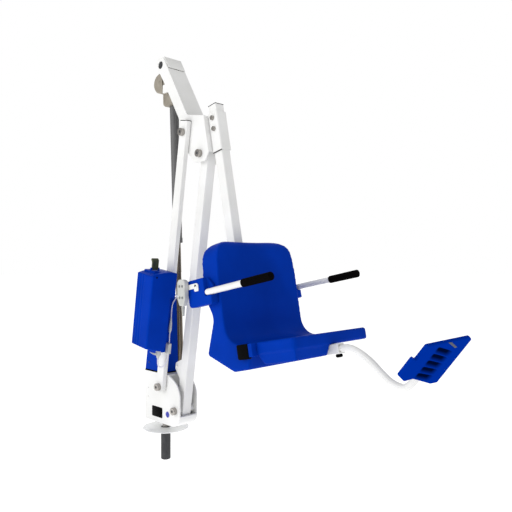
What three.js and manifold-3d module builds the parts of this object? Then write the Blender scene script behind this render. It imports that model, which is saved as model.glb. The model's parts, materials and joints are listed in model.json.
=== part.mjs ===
// Pool patient lift: a deck post carries a swivelling bracket, two parallel arms lift a head bracket,
// and a seat with armrests and footrest hangs from the head. An electric ram between head and arm
// raises and lowers it. X points from the deck over the pool, Y across the seat, Z up, from deck level.
import * as THREE from 'three';
import { mergeVertices } from 'three/addons/utils/BufferGeometryUtils.js';
import Module from 'manifold-3d';

const wasm = await Module();
wasm.setup();
const rad = THREE.MathUtils.degToRad;

// Shared clearances, in millimetres
const gap = 0.3;
const boltClearance = 0.4;
const overrun = 5;

// Deck post, cover disc and swivel stem
const postDiameter = 48.26;
const postDepth = 157;
const postWall = 6;
const postEdge = 3;
const discDiameter = 228.6;
const discThickness = 4;
const discEdge = 1.5;
const postTop = discThickness;
const stemDiameter = 25.4;
const stemTop = 96;
const nutAcross = 36;
const nutHeight = 14;

// Base bracket: two side plates and the webs between them
const plateHalfWidth = 54;
const plateThickness = 6.35;
const webThickness = 6;
const baseBottom = 38;
const baseTop = 280;
const baseRear = -102;
const baseFront = 182;
const baseNose = 56;
const baseCrown = 92;
const deckPlateFront = 94;
const innerWebX = 84;
const stemBushWall = 7;
const stemBushTop = 110;
const plateCorner = 3;

// Arms: both links have the same length and lean, so the head stays level
const armLength = 1219.2;
const armLean = rad(8.78);
const armPivotX = 145;
const armPivotZ = 116;
const armTube = 50.8;
const armWall = 4.8;
const armCorner = 5;
const armLowerOverhang = 24;
const armUpperOverhang = 25;
const linkBack = 91;
const linkRise = 106;
const linkDepth = 50.8;
const linkThickness = 25.4;
const linkWall = 3.2;
const linkCorner = 4;
const linkNear = 81.4;
const linkLowerOverhang = 27;
const linkUpperOverhang = 52;

// Pivot bolts with tall polished heads
const boltDiameter = 16;
const boltHead = 36;
const boltHeadHeight = 17;
const boltSocket = 11;
const boltSocketDepth = 7;
const nutDiameter = 26;
const nutThickness = 11;
const sleeveDiameter = 32;

// Head bracket, measured from the main arm's upper pivot
const earBack = 301;
const earRise = 471;
const earPinDiameter = 36;
const earShankDiameter = 18;
const headEdgeRound = 30;
const headWebTop = 428;
const headBossRadius = 38;
const headBossRoundShare = 0.8;
const headShoulderX = -92;
const headShoulderZ = 191;
const linkBossReach = 62;
const earFrontRadius = 36;
const earRearRadius = 29;
const earSlopeShares = [0.513, -0.858];
const lugTop = 368;
const lugBottom = 328;
const lugReach = 36;
const lugCorner = 4;
const mountCorner = 2;
const webShoulderShares = [0.7, 0.9];

// Actuator between the ear and the clevis on the arm
const ramOffset = 31;
const gearNeck = 22;
const gearWall = 6;
const gearNeckRoundShare = 0.9;
const gearWaistShare = 0.45;
const gearRearShare = 1.6;
const motorDiameter = 98;
const motorOffsetShare = 0.08;
const motorHalfWidth = 36;
const motorDrop = 76;
const ramTubeDiameter = 44;
const ramTubeTop = 203;
const ramTubeEnd = 848;
const ramBore = 34;
const ramCollarDiameter = 48;
const ramCollarLength = 26;
const rodDiameter = 28;
const rodEngage = 90;
const rodEyeRadius = 15;
const rodEyeWidth = 26;
const rodEyeHole = 8;
const rodFlatLength = 46;
const clevisForward = -54;
const clevisAlong = 201;
const clevisCheekInner = 15;
const clevisCheekThickness = 6;
const clevisPin = 14;
const clevisCorner = 2;

// Lower housing on the base bracket
const housingHalfWidth = 53;
const housingFront = 51;
const housingTop = 649;
const housingRearTop = -44;
const housingRearMiddle = -86;
const housingRound = 10;
const housingShoulder = 384;
const housingWall = 4;
const gasketThickness = 6;
const moduleWidth = 60;
const moduleDepth = 70;
const moduleHeight = 150;

// Control box on the narrow arm, with its battery and leads
const boxNear = 223;
const boxFar = 84;
const boxRear = -58;
const boxFront = 69;
const boxBottomFar = 185;
const boxBottomNear = 219;
const boxTopFar = 568;
const boxTopFall = 12;
const boxTopNear = boxTopFar - boxTopFall;
const boxCrown = 14;
const boxEdge = 7;
const fluteRadius = 9;
const fluteDepth = 2.5;
const fluteSpacing = 20;
const batteryWidth = 84;
const batteryDepth = 62;
const batteryHeight = 60;
const batteryRise = 5;
const batteryCorner = 6;
const handleWidth = 34;
const handleHeight = 50;
const handleThickness = 9;
const handleCorner = 3;
const handleWaistRound = 6;
const handleEdge = 1;
const handleHookShare = 1.5;
const handleWaistShare = 0.6;
const handlePin = 6;
const handleLugThickness = 6;
const handleLugHeight = 12;
const leadDiameter = 6;
const leadSides = 8;
const connectorDiameter = 15;
const connectorTaperShare = 0.2;
const connectorRingShare = 0.45;
const connectorCollarShare = 0.5;
const connectorNeckShare = 0.8;
const clipWidth = 24;
const clipDepth = 18;
const clipCorner = 4;
const glandDiameter = 13;
const glandHeight = 6;
const plugDiameter = 24;
const plugHeight = 36;
const plugTipShare = 0.45;
const plugShoulderShares = [0.7, 0.3];
const plugBodyShare = 0.4;
const leverWidth = 8;
const leverThickness = 3;
const leverFootShare = 0.45;
const leverRootShare = 0.3;
const leverTopShares = [0.7, 0.3];
const leverTipShares = [1.5, 0.55];
const leverUnderShares = [0.8, 0.1];

// Hanger tube and the sleeve that holds it
const seatTilt = rad(11.5);
const seamForward = 515.90025106;
const seamDrop = 791.91307713;
const hangerTube = 50.8;
const hangerWall = 4.8;
const hangerFront = 231;
const hangerBottom = 52;
const hangerTop = 1080;
const sleeveWall = 5;
const sleeveBottom = 863;
const sleeveTop = 1045;
const sleeveBoltInset = 27;
const sleeveBoltPitch = 51;

// Seat shell, in the tilted frame of the seat: u forward along the pan, w square to it
const seatHalfWidth = 232;
const backTop = 428;
const backThickness = 97;
const backFront = 134;
const backRound = 46;
const backCorner = 105;
const backDip = 5;
const seatDepthRear = 142;
const seatFillet = 80;
const hingeBack = 36.4;
const hingeDrop = 28.3;
const baseBlockDepth = 100;
const baseBlockRear = 262;
const waistBack = 196;
const waistHeight = 118;
const waistRoundShare = 0.75;
const shellToeRound = 10;
const shellHeelRound = 14;
const shellEdge = 12;
const spineHalfWidth = 38;
const spineBottom = 66;
const spineTop = 404;
const mountBolt = 12;
const mountBoltHead = 24;
const mountBoltHeadHeight = 8;
const mountBoltDepth = 40;
const mountBoltLow = 130;
const mountBoltHigh = 340;

// Pan, hinge and footrest receiver
const panLength = 201;
const panSide = 7;
const panHalfWidth = seatHalfWidth - panSide;
const panThickness = 46;
const panSeam = 5.5;
const panEdge = 8;
const panCornerShares = [1.5, 2.5];
const keelDepth = 84;
const keelSide = 6;
const keelNear = panHalfWidth - keelSide;
const keelFar = -22;
const keelInset = 10;
const keelRear = 10;
const keelFront = 196;
const keelRoundFront = 6;
const keelRoundRear = 14;
const knuckleDepth = 56;
const knuckleHeight = 57;
const knuckleThickness = 18;
const knuckleCorner = 2;
const knuckleEdge = 1.5;
const knuckleProng = 12;
const knuckleProngThickness = 4;
const hingeRodDiameter = 12;
const receiverWidth = 38;
const receiverWall = 4.7;
const receiverCorner = 3;
const receiverBoreCorner = 2;
const receiverRear = 96;
const receiverFront = 230;
const footTube = 28;
const footTubeTail = 118;
const footTubeSides = 12;
const bendReach = 500;
const bendDrop = 250;
const knobDiameter = 26;
const knobHeight = 11;
const knobStem = 8;
const knobSetback = 2;
const knobTipChamfer = 2;
const knobBevel = 3;
const knobShoulder = 4;
const receiverPeg = 9;
const receiverPegLength = 18;

// Footplate, in its own plane: y across, v down the slope from the top edge
const footTiltFromVertical = rad(52);
const plateTopForward = 682;
const plateTopRise = 52;
const footSpan = 350;
const footDrop = 220;
const footThickness = 14;
const footEdge = 3;
const footSocketWidth = 42;
const footSocketDepth = 38;
const footSocketStart = 112;
const footSocketEnd = 182;
const footSocketWall = 6;
const treadCount = 5;
const treadPitch = 30;
const treadLength = 84;
const treadRadius = 13;
const treadDepth = 4.5;
const treadFirst = 45;
const treadCentre = -2;
const treadSlant = rad(16);

// Armrests and their blocks on the sides of the shell
const blockRear = 290;
const blockUpperFront = 187.5;
const blockLowerFront = 150;
const blockCheekFront = 160;
const blockBottom = 172;
const blockTop = 282;
const blockThickness = 36;
const blockOuter = seatHalfWidth + blockThickness;
const cheekThickness = 14;
const blockCheek = seatHalfWidth + cheekThickness;
const blockHeelRound = 14;
const blockToeRound = 6;
const blockStepRound = 2;
const blockTopRound = 8;
const blockRearRound = 10;
const armrestTube = 25.4;
const armrestWall = 2.6;
const armrestHeight = 222;
const armrestPivot = 174;
const armrestReach = 172;
const armrestOffset = 28;
const armrestY = seatHalfWidth + armrestOffset;
const armrestPin = 10;
const gripDiameter = 32;
const gripLength = 148;
const gripCap = 5;

// Handset and its hook
const handsetBack = 344;
const handsetRise = 175;
const handsetStandoff = 16;
const handsetY = blockOuter + handsetStandoff;
const handsetWidth = 50;
const handsetHeight = 108;
const handsetDepth = 22;
const handsetEdge = 4;
const handsetFootShare = 0.5;
const handsetFootRoundShare = 0.3;
const handsetWaistRoundShare = 0.5;
const handsetTopRoundShare = 0.7;
const handsetTilt = rad(2);
const buttonDiameter = 10;
const buttonProud = 1.6;
const buttonDepth = 4;
const buttonSpacing = 18;
const buttonRow = 46;
const buttonRowTop = 28;
const tailLength = 44;
const tailTop = 13;
const tailEnd = 8;
const tailInset = 3;
const hookThickness = 4;
const hookRadius = 13;
const hookRootRound = 8;
const hookCrownRound = 10;
const hookTipRound = 6;
const hookBoltShare = 0.7;
const hookBoltHead = 3;

// Materials

const finish = (color, roughness, metalness = 0) => (
  new THREE.MeshStandardMaterial({ color, roughness, metalness }));
const whitePaint = '#eceef0';
const shadeWhite = '#d9dadd';
const polishedSteel = '#c9c9c6';
const blueShell = '#0035b8';
const blackPlastic = '#141416';

// Solid building helpers

function solid(geometry) {
  const plain = geometry.index ? geometry.toNonIndexed() : geometry.clone();
  plain.deleteAttribute('normal');
  plain.deleteAttribute('uv');
  const merged = mergeVertices(plain, 1e-4);
  const mesh = new wasm.Mesh({
    numProp: 3,
    vertProperties: new Float32Array(merged.attributes.position.array),
    triVerts: new Uint32Array(merged.index.array),
  });
  return new wasm.Manifold(mesh);
}

function surface(manifold) {
  const mesh = manifold.getMesh();
  const geometry = new THREE.BufferGeometry();
  geometry.setAttribute('position', new THREE.BufferAttribute(new Float32Array(mesh.vertProperties), 3));
  geometry.setIndex(new THREE.BufferAttribute(new Uint32Array(mesh.triVerts), 1));
  geometry.computeVertexNormals();
  return geometry;
}

const join = (first, ...rest) => rest.reduce((sum, part) => sum.add(part), first);
const cut = (first, ...rest) => rest.reduce((sum, part) => sum.subtract(part), first);

// A closed outline from corners [x, y, radius], each corner turned into an arc
function outline(corners) {
  const shape = new THREE.Shape();
  const count = corners.length;
  corners.forEach(([x, y, radius = 0], i) => {
    const here = new THREE.Vector2(x, y);
    const before = new THREE.Vector2(...corners[(i + count - 1) % count].slice(0, 2)).sub(here).normalize();
    const after = new THREE.Vector2(...corners[(i + 1) % count].slice(0, 2)).sub(here).normalize();
    const half = Math.acos(THREE.MathUtils.clamp(before.dot(after), -1, 1)) / 2;
    const reach = radius / Math.tan(half);
    const start = here.clone().addScaledVector(before, reach);
    const end = here.clone().addScaledVector(after, reach);
    if (i === 0) shape.moveTo(start.x, start.y);
    else shape.lineTo(start.x, start.y);
    if (radius > 0) {
      const centre = before.clone().add(after).normalize().multiplyScalar(radius / Math.sin(half)).add(here);
      const from = Math.atan2(start.y - centre.y, start.x - centre.x);
      const to = Math.atan2(end.y - centre.y, end.x - centre.x);
      const turnsLeft = before.x * after.y - before.y * after.x < 0;
      shape.absarc(centre.x, centre.y, radius, from, to, !turnsLeft);
    }
  });
  shape.closePath();
  return shape;
}

const rectangle = (x0, y0, x1, y1, radius = 0) =>
  outline([[x0, y0, radius], [x1, y0, radius], [x1, y1, radius], [x0, y1, radius]]);

// An extrusion with optional rounded rims, its depth measured over the rims
function extrude(shape, depth, rim = 0, curveSegments = 3, rimSteps = 2) {
  const geometry = new THREE.ExtrudeGeometry(shape, {
    depth: depth - 2 * rim,
    bevelEnabled: rim > 0,
    bevelThickness: rim,
    bevelSize: rim,
    bevelOffset: -rim,
    bevelSegments: rimSteps,
    curveSegments,
  });
  geometry.translate(0, 0, rim);
  return geometry;
}

// The outline's x and y become X and Z, and the depth runs along Y from y0 to y1
function acrossY(shape, y0, y1, rim = 0, curveSegments = 3, rimSteps = 2) {
  const geometry = extrude(shape, y1 - y0, rim, curveSegments, rimSteps);
  geometry.rotateX(Math.PI / 2);
  geometry.translate(0, y1, 0);
  return solid(geometry);
}

// The outline's x and y become Y and Z, and the depth runs along X from x0 to x1
function alongX(shape, x0, x1, rim = 0, curveSegments = 3, rimSteps = 2) {
  const geometry = extrude(shape, x1 - x0, rim, curveSegments, rimSteps);
  geometry.applyMatrix4(new THREE.Matrix4().set(0, 0, 1, x0, 1, 0, 0, 0, 0, 1, 0, 0, 0, 0, 0, 1));
  return solid(geometry);
}

// The outline lies in X and Y, and the depth runs along Z from z0 to z1
function alongZ(shape, z0, z1, rim = 0, curveSegments = 3, rimSteps = 2) {
  const geometry = extrude(shape, z1 - z0, rim, curveSegments, rimSteps);
  geometry.translate(0, 0, z0);
  return solid(geometry);
}

function block(x0, x1, y0, y1, z0, z1) {
  const geometry = new THREE.BoxGeometry(x1 - x0, y1 - y0, z1 - z0);
  geometry.translate((x0 + x1) / 2, (y0 + y1) / 2, (z0 + z1) / 2);
  return solid(geometry);
}

function turned(profile, segments = 32) {
  const points = profile.map(([radius, height]) => new THREE.Vector2(radius, height));
  const geometry = new THREE.LatheGeometry(points, segments);
  geometry.rotateX(Math.PI / 2);
  return geometry;
}

// A rod along Y, X or Z
function rodY(diameter, y0, y1, x = 0, z = 0, segments = 24) {
  const geometry = new THREE.CylinderGeometry(diameter / 2, diameter / 2, y1 - y0, segments);
  geometry.translate(x, (y0 + y1) / 2, z);
  return solid(geometry);
}

function rodX(diameter, x0, x1, y = 0, z = 0, segments = 24) {
  const geometry = new THREE.CylinderGeometry(diameter / 2, diameter / 2, x1 - x0, segments);
  geometry.rotateZ(-Math.PI / 2);
  geometry.translate((x0 + x1) / 2, y, z);
  return solid(geometry);
}

function rodZ(diameter, z0, z1, x = 0, y = 0, segments = 24) {
  const geometry = new THREE.CylinderGeometry(diameter / 2, diameter / 2, z1 - z0, segments);
  geometry.rotateX(Math.PI / 2);
  geometry.translate(x, y, (z0 + z1) / 2);
  return solid(geometry);
}

// A tube of square section along Z
function squareTube(width, depth, wall, corner, z0, z1, x = 0, y = 0) {
  const outer = rectangle(x - width / 2, y - depth / 2, x + width / 2, y + depth / 2, corner);
  const innerWidth = width / 2 - wall;
  const innerDepth = depth / 2 - wall;
  const innerCorner = Math.max(corner - wall, corner / 4);
  const inner = rectangle(x - innerWidth, y - innerDepth, x + innerWidth, y + innerDepth, innerCorner);
  return cut(alongZ(outer, z0, z1, 0, 3), alongZ(inner, z0 - overrun, z1 + overrun, 0, 3));
}

// A round bar along a curve through the given points
function bent(points, diameter, sides, steps) {
  const path = new THREE.CatmullRomCurve3(points.map((p) => new THREE.Vector3(...p)), false, 'centripetal');
  const section = new THREE.Shape();
  for (let i = 0; i < sides; i += 1) {
    const angle = (i / sides) * 2 * Math.PI;
    const x = (diameter / 2) * Math.cos(angle);
    const y = (diameter / 2) * Math.sin(angle);
    if (i === 0) section.moveTo(x, y);
    else section.lineTo(x, y);
  }
  section.closePath();
  return new THREE.ExtrudeGeometry(section, { extrudePath: path, steps, bevelEnabled: false });
}

// Assembly helpers: named meshes in nested frames

const lift = new THREE.Group();

function frame(parent, x, z, tilt = 0) {
  const group = new THREE.Group();
  group.position.set(x, 0, z);
  group.rotation.y = tilt;
  parent.add(group);
  return group;
}

function piece(parent, name, shape, material) {
  const mesh = new THREE.Mesh(shape.isBufferGeometry ? shape : surface(shape), material);
  mesh.name = name;
  parent.add(mesh);
  return mesh;
}

const sleeveOuter = hangerTube / 2 + gap + sleeveWall;
const hangerAxis = -hangerFront - hangerTube / 2;

// Frames at rest, worked out from the pivots
const upperX = armPivotX + armLength * Math.sin(armLean);
const upperZ = armPivotZ + armLength * Math.cos(armLean);
const seamX = upperX + seamForward;
const seamZ = upperZ - seamDrop;
const base = frame(lift, 0, 0);
const arm = frame(lift, armPivotX, armPivotZ, armLean);
const link = frame(lift, armPivotX - linkBack, armPivotZ + linkRise, armLean);
const head = frame(lift, upperX, upperZ);
const seat = frame(lift, seamX, seamZ, -seatTilt);
const toSeat = (x, z) => {
  const dx = x - seamX;
  const dz = z - seamZ;
  const cosTilt = Math.cos(seatTilt);
  const sinTilt = Math.sin(seatTilt);
  return [dx * cosTilt + dz * sinTilt, -dx * sinTilt + dz * cosTilt];
};
const plateInner = plateHalfWidth - plateThickness;
const boltBore = boltDiameter + 2 * boltClearance;
const mountBore = mountBolt + 2 * boltClearance;

// The ram's axis passes the ear's pin at its offset and meets the clevis pin
const clevisX = armPivotX + clevisForward * Math.cos(armLean) + clevisAlong * Math.sin(armLean);
const clevisZ = armPivotZ - clevisForward * Math.sin(armLean) + clevisAlong * Math.cos(armLean);
const earToClevisX = clevisX - (upperX - earBack);
const earToClevisZ = upperZ + earRise - clevisZ;
const earToClevis = Math.hypot(earToClevisX, earToClevisZ);
const ramLean = Math.atan2(earToClevisX, earToClevisZ) - Math.asin(ramOffset / earToClevis);
const rodEyeDrop = Math.sqrt(earToClevis ** 2 - ramOffset ** 2);
const ram = frame(head, -earBack, earRise, -ramLean);

// A pivot bolt along Y with a tall round head on the near side and a nut on the far side
function pivotBolt(nearFace, farFace, x, z) {
  const headTop = nearFace - gap - boltHeadHeight;
  const profile = [
    [0, 0],
    [boltHead / 2 - discEdge, 0],
    [boltHead / 2, discEdge],
    [boltHead / 2, boltHeadHeight],
    [0, boltHeadHeight],
  ];
  const cap = turned(profile, 28);
  cap.rotateX(-Math.PI / 2);
  cap.translate(x, headTop, z);
  const nut = rodY(nutDiameter, farFace + gap, farFace + gap + nutThickness, x, z, 6);
  const shankEnd = farFace + gap + nutThickness + 3 * gap;
  const shank = rodY(boltDiameter, headTop + boltSocketDepth + overrun, shankEnd, x, z, 20);
  const socket = rodY(boltSocket, headTop - overrun, headTop + boltSocketDepth, x, z, 6);
  return cut(join(solid(cap), nut, shank), socket);
}

// Deck post, disc and stem

function deckPost() {
  const outer = postDiameter / 2;
  return turned([
    [0, postTop],
    [outer, postTop],
    [outer, postEdge - postDepth],
    [outer - postEdge, -postDepth],
    [outer - postWall, -postDepth],
    [outer - postWall, -postWall],
    [0, -postWall],
  ].reverse(), 36);
}

// A ring round the post's top that covers the anchor's rim
function coverDisc() {
  const outer = discDiameter / 2;
  const bore = postDiameter / 2 + gap;
  const profile = [
    [bore, 0],
    [outer - discEdge, 0],
    [outer, discEdge],
    [outer - discEdge, discThickness],
    [bore, discThickness],
    [bore, 0],
  ];
  return solid(turned(profile, 48));
}

function swivelStem() {
  const nut = rodZ(nutAcross, discThickness + gap, discThickness + gap + nutHeight, 0, 0, 6);
  return join(rodZ(stemDiameter, discThickness + gap, stemTop), nut);
}

piece(lift, 'deck_post', deckPost(), finish('#4b4c4f', 0.45, 0.6));
piece(lift, 'cover_disc', coverDisc(), finish(whitePaint, 0.35));
piece(lift, 'swivel_stem', swivelStem(), finish(polishedSteel, 0.3, 0.9));

// Base bracket

const baseOutline = () => outline([
  [baseRear, baseBottom, plateCorner],
  [baseFront, baseBottom, baseNose],
  [baseFront, baseTop - baseCrown / 2, baseCrown],
  [baseCrown, baseTop, baseCrown / 2],
  [baseRear, baseTop, plateCorner],
]);

function baseBracket() {
  const near = acrossY(baseOutline(), -plateHalfWidth, -plateInner, 0, 6);
  const far = acrossY(baseOutline(), plateInner, plateHalfWidth, 0, 6);
  const inside = plateInner + gap;
  const inner = outline([
    [baseRear - overrun, baseBottom + webThickness, 0],
    [baseFront - webThickness, baseBottom + webThickness, baseNose - webThickness],
    [baseFront - webThickness, armPivotZ - linkThickness, 0],
    [baseFront + overrun, armPivotZ - linkThickness, 0],
    [baseFront + overrun, baseTop + overrun, 0],
    [baseRear - overrun, baseTop + overrun, 0],
  ]);
  const filled = acrossY(baseOutline(), -inside, inside, 0, 6);
  const floor = cut(filled, acrossY(inner, -plateHalfWidth, plateHalfWidth, 0, 6));
  const deck = block(baseRear, deckPlateFront, -inside, inside, baseTop - webThickness, baseTop);
  const wallFoot = baseBottom + webThickness / 2;
  const wall = block(innerWebX - webThickness, innerWebX, -inside, inside, wallFoot, baseTop - gap);
  const bush = rodZ(stemDiameter + 2 * stemBushWall, baseBottom + gap, stemBushTop, 0, 0, 28);
  const body = join(near, far, floor, deck, wall, bush);
  const bore = rodZ(stemDiameter + 2 * boltClearance, baseBottom - overrun, stemTop + boltClearance);
  const through = plateHalfWidth + overrun;
  const armHole = rodY(boltBore, -through, through, armPivotX, armPivotZ, 20);
  const linkX = armPivotX - linkBack;
  const linkZ = armPivotZ + linkRise;
  const linkHole = rodY(boltBore, -through, -plateInner + overrun, linkX, linkZ, 20);
  return cut(body, bore, armHole, linkHole);
}

piece(base, 'base_bracket', baseBracket(), finish(whitePaint, 0.35));
piece(
  base,
  'arm_lower_bolt',
  pivotBolt(-plateHalfWidth, plateHalfWidth, armPivotX, armPivotZ),
  finish(polishedSteel, 0.2, 0.95),
);
piece(
  base,
  'link_lower_bolt',
  pivotBolt(-linkNear, -plateInner, armPivotX - linkBack, armPivotZ + linkRise),
  finish(polishedSteel, 0.2, 0.95),
);

// Lower housing

const housingBottom = baseTop + gasketThickness + 2 * gap;
const housingOutline = (inset) => outline([
  [baseRear + inset, housingBottom, 0],
  [housingFront - inset, housingBottom, 0],
  [housingFront - inset, housingTop - inset, housingRound / 2],
  [housingRearTop + inset, housingTop - inset, housingRound],
  [housingRearMiddle + inset, housingShoulder, housingShoulder / 4],
]);

function controlHousing() {
  const outer = acrossY(housingOutline(0), -housingHalfWidth, housingHalfWidth, housingWall, 3);
  const half = housingHalfWidth - housingWall;
  const hollow = acrossY(housingOutline(housingWall), -half, half);
  const foot = block(
    baseRear + housingWall, housingFront - housingWall, -half, half,
    housingBottom - overrun, housingBottom + overrun,
  );
  return cut(outer, hollow, foot);
}

function gasket() {
  const z0 = baseTop + gap;
  const z1 = z0 + gasketThickness;
  const ring = block(baseRear, housingFront, -housingHalfWidth, housingHalfWidth, z0, z1);
  const inset = 2 * housingWall;
  const opening = block(
    baseRear + inset, housingFront - inset, inset - housingHalfWidth, housingHalfWidth - inset,
    z0 - overrun, z1 + overrun,
  );
  return cut(ring, opening);
}

function controlModule() {
  const x0 = baseRear + moduleDepth / 2;
  const outlineXY = rectangle(x0, -moduleWidth / 2, x0 + moduleDepth, moduleWidth / 2, housingRound);
  return alongZ(outlineXY, baseTop + gap, baseTop + gap + moduleHeight, discEdge, 4, 1);
}

piece(base, 'housing_gasket', gasket(), finish(blackPlastic, 0.8));
piece(base, 'control_housing', controlHousing(), finish(blueShell, 0.4));
piece(base, 'control_module', controlModule(), finish('#2a2c2e', 0.6));

// Main arm

function mainArm() {
  const top = armLength + armUpperOverhang;
  const tube = squareTube(armTube, armTube, armWall, armCorner, -armLowerOverhang, top);
  const hole = sleeveDiameter + 2 * gap;
  const lower = rodY(hole, -armTube, armTube, 0, 0, 24);
  const upper = rodY(hole, -armTube, armTube, 0, armLength, 24);
  return cut(tube, lower, upper);
}

function pivotSleeve(z) {
  const half = plateInner - gap;
  return cut(
    rodY(sleeveDiameter, -half, half, 0, z, 24),
    rodY(boltBore, -half - overrun, half + overrun, 0, z, 20),
  );
}

// Two triangular cheeks on a back plate, with a stub pin on each that leaves the ram eye free
function armClevis() {
  const back = -armTube / 2 - gap;
  const tip = clevisForward - clevisPin;
  const cheekOuter = clevisCheekInner + clevisCheekThickness;
  const cheek = outline([
    [back, clevisAlong - 4 * clevisPin, clevisCorner],
    [back, clevisAlong + 3 * clevisPin, clevisCorner],
    [tip, clevisAlong + clevisPin, clevisPin / 2],
    [tip, clevisAlong - clevisPin, clevisPin / 2],
  ]);
  const near = acrossY(cheek, -cheekOuter, -clevisCheekInner, 0, 3);
  const far = acrossY(cheek, clevisCheekInner, cheekOuter, 0, 3);
  const plate = block(
    back - clevisCheekThickness / 2, back, -cheekOuter, cheekOuter,
    clevisAlong - 4 * clevisPin + clevisCorner, clevisAlong + 3 * clevisPin - clevisCorner,
  );
  const stubEnd = cheekOuter + clevisCheekThickness;
  const stubFace = rodEyeWidth / 2 + gap;
  const stubNear = rodY(clevisPin, -stubEnd, -stubFace, clevisForward, clevisAlong, 18);
  const stubFar = rodY(clevisPin, stubFace, stubEnd, clevisForward, clevisAlong, 18);
  return join(near, far, plate, stubNear, stubFar);
}

function armStud() {
  const y = armTube / 2 + gap;
  const z = clevisAlong - 5 * clevisPin;
  const bush = rodY(nutDiameter, y, y + nutThickness / 2, 0, z, 20);
  const nut = rodY(nutDiameter - 6 * gap, y + nutThickness / 2 - gap, y + nutThickness, 0, z, 6);
  return join(bush, nut);
}

piece(arm, 'main_arm', mainArm(), finish(whitePaint, 0.32));
piece(arm, 'arm_lower_sleeve', pivotSleeve(0), finish(shadeWhite, 0.4));
piece(arm, 'arm_upper_sleeve', pivotSleeve(armLength), finish(shadeWhite, 0.4));
piece(arm, 'ram_clevis', armClevis(), finish(whitePaint, 0.35));
piece(arm, 'arm_stud', armStud(), finish(polishedSteel, 0.3, 0.9));

// Narrow arm on the near side, with a rounded lower end

const linkY = -linkNear + linkThickness / 2;

function parallelLink() {
  const top = armLength + linkUpperOverhang;
  const tube = squareTube(linkDepth, linkThickness, linkWall, linkCorner, -linkLowerOverhang, top, 0, linkY);
  const half = linkDepth / 2;
  const roundEnd = outline([
    [-half - overrun, -linkLowerOverhang - overrun, 0],
    [half + overrun, -linkLowerOverhang - overrun, 0],
    [half + overrun, top + overrun, 0],
    [-half - overrun, top + overrun, 0],
  ]);
  const lowerArc = outline([
    [-half, -half, half - gap],
    [half, -half, half - gap],
    [half, top, 0],
    [-half, top, 0],
  ]);
  const ends = cut(
    acrossY(roundEnd, -linkNear - overrun, -linkNear + linkThickness + overrun),
    acrossY(lowerArc, -linkNear - 2 * overrun, -linkNear + linkThickness + 2 * overrun, 0, 6),
  );
  const bossWidth = linkThickness - 2 * gap;
  const bossLow = rodY(sleeveDiameter, -linkNear + gap, -linkNear + gap + bossWidth, 0, 0, 24);
  const bossHigh = rodY(sleeveDiameter, -linkNear + gap, -linkNear + gap + bossWidth, 0, armLength, 24);
  const low = rodY(boltBore, -linkNear - overrun, -linkNear + linkThickness + overrun, 0, 0, 20);
  const high = rodY(boltBore, -linkNear - overrun, -linkNear + linkThickness + overrun, 0, armLength, 20);
  return cut(join(cut(tube, ends), bossLow, bossHigh), low, high);
}

piece(link, 'parallel_link', parallelLink(), finish(whitePaint, 0.32));

// Control box on the narrow arm

const boxTopShape = () => {
  const shape = new THREE.Shape();
  const middle = -(boxNear + boxFar) / 2;
  shape.moveTo(-boxNear, boxBottomNear);
  shape.lineTo(-boxFar, boxBottomFar);
  shape.lineTo(-boxFar, boxTopFar);
  shape.quadraticCurveTo(middle, Math.max(boxTopFar, boxTopNear) + boxCrown, -boxNear, boxTopNear);
  shape.closePath();
  return shape;
};

const batteryX = (boxRear + boxFront) / 2 - housingRound;
const batteryY = -(boxNear + boxFar) / 2 - housingRound;
const batteryTop = Math.max(boxTopFar, boxTopNear) + batteryRise;
const batteryFloor = batteryTop - batteryHeight;

function controlBox() {
  const body = alongX(boxTopShape(), boxRear, boxFront, boxEdge, 12);
  const half = { x: batteryWidth / 2 + gap, y: batteryDepth / 2 + gap };
  const pocketTop = batteryTop + 2 * boxCrown;
  const pocket = block(
    batteryX - half.x, batteryX + half.x, batteryY - half.y, batteryY + half.y, batteryFloor - gap, pocketTop,
  );
  const flutes = [0, 1, 2].map((i) => {
    const x = boxRear + boxEdge + fluteSpacing * (i + 0.5);
    const y = -boxNear - fluteRadius + fluteDepth;
    return rodZ(2 * fluteRadius, boxBottomFar, boxTopFar + boxCrown, x, y, 24);
  });
  const [glandX, , glandZ] = leadRoute[0];
  const gland = rodY(glandDiameter, -boxFar - gap, -boxFar + glandHeight, glandX, glandZ, 16);
  return cut(join(body, gland), pocket, ...flutes);
}

// Lead from the box to the inline connector, on to the clip, and round to the plug: [x, y, z] on the arm
const glandFace = -boxFar + glandHeight;
const leadRoute = [
  [54, glandFace + gap, 463],
  [54, glandFace + 8, 463],
  [49, -62, 456],
  [37, -62, 438],
  [31, -68, 420],
  [31, -71, 400],
  [32, -72, 376],
  [34, -72, 350],
];
const tailRoute = [
  [34, -72, 275],
  [34, -72, 262],
  [37, -73, 246],
  [39, -74, 234],
  [39, -74, 226],
];
const loopRoute = [
  [20, -118, 153],
  [20, -117, 140],
  [17, -110, 118],
  [17, -98, 106],
  [25, -91, 108],
  [37, -81, 128],
  [38, -73, 152],
  [38, -73, 166],
  [38, -73, 175],
];
const connectorX = leadRoute[leadRoute.length - 1][0];
const connectorY = leadRoute[leadRoute.length - 1][1];
const connectorTop = leadRoute[leadRoute.length - 1][2] - gap;
const connectorBottom = tailRoute[0][2] + gap;
const clipTop = tailRoute[tailRoute.length - 1][2] - gap;
const clipBottom = loopRoute[loopRoute.length - 1][2] + gap;
const clipX = loopRoute[loopRoute.length - 1][0];
const plugX = loopRoute[0][0];
const plugY = loopRoute[0][1];
const plugBottom = loopRoute[0][2] + gap;

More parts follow.
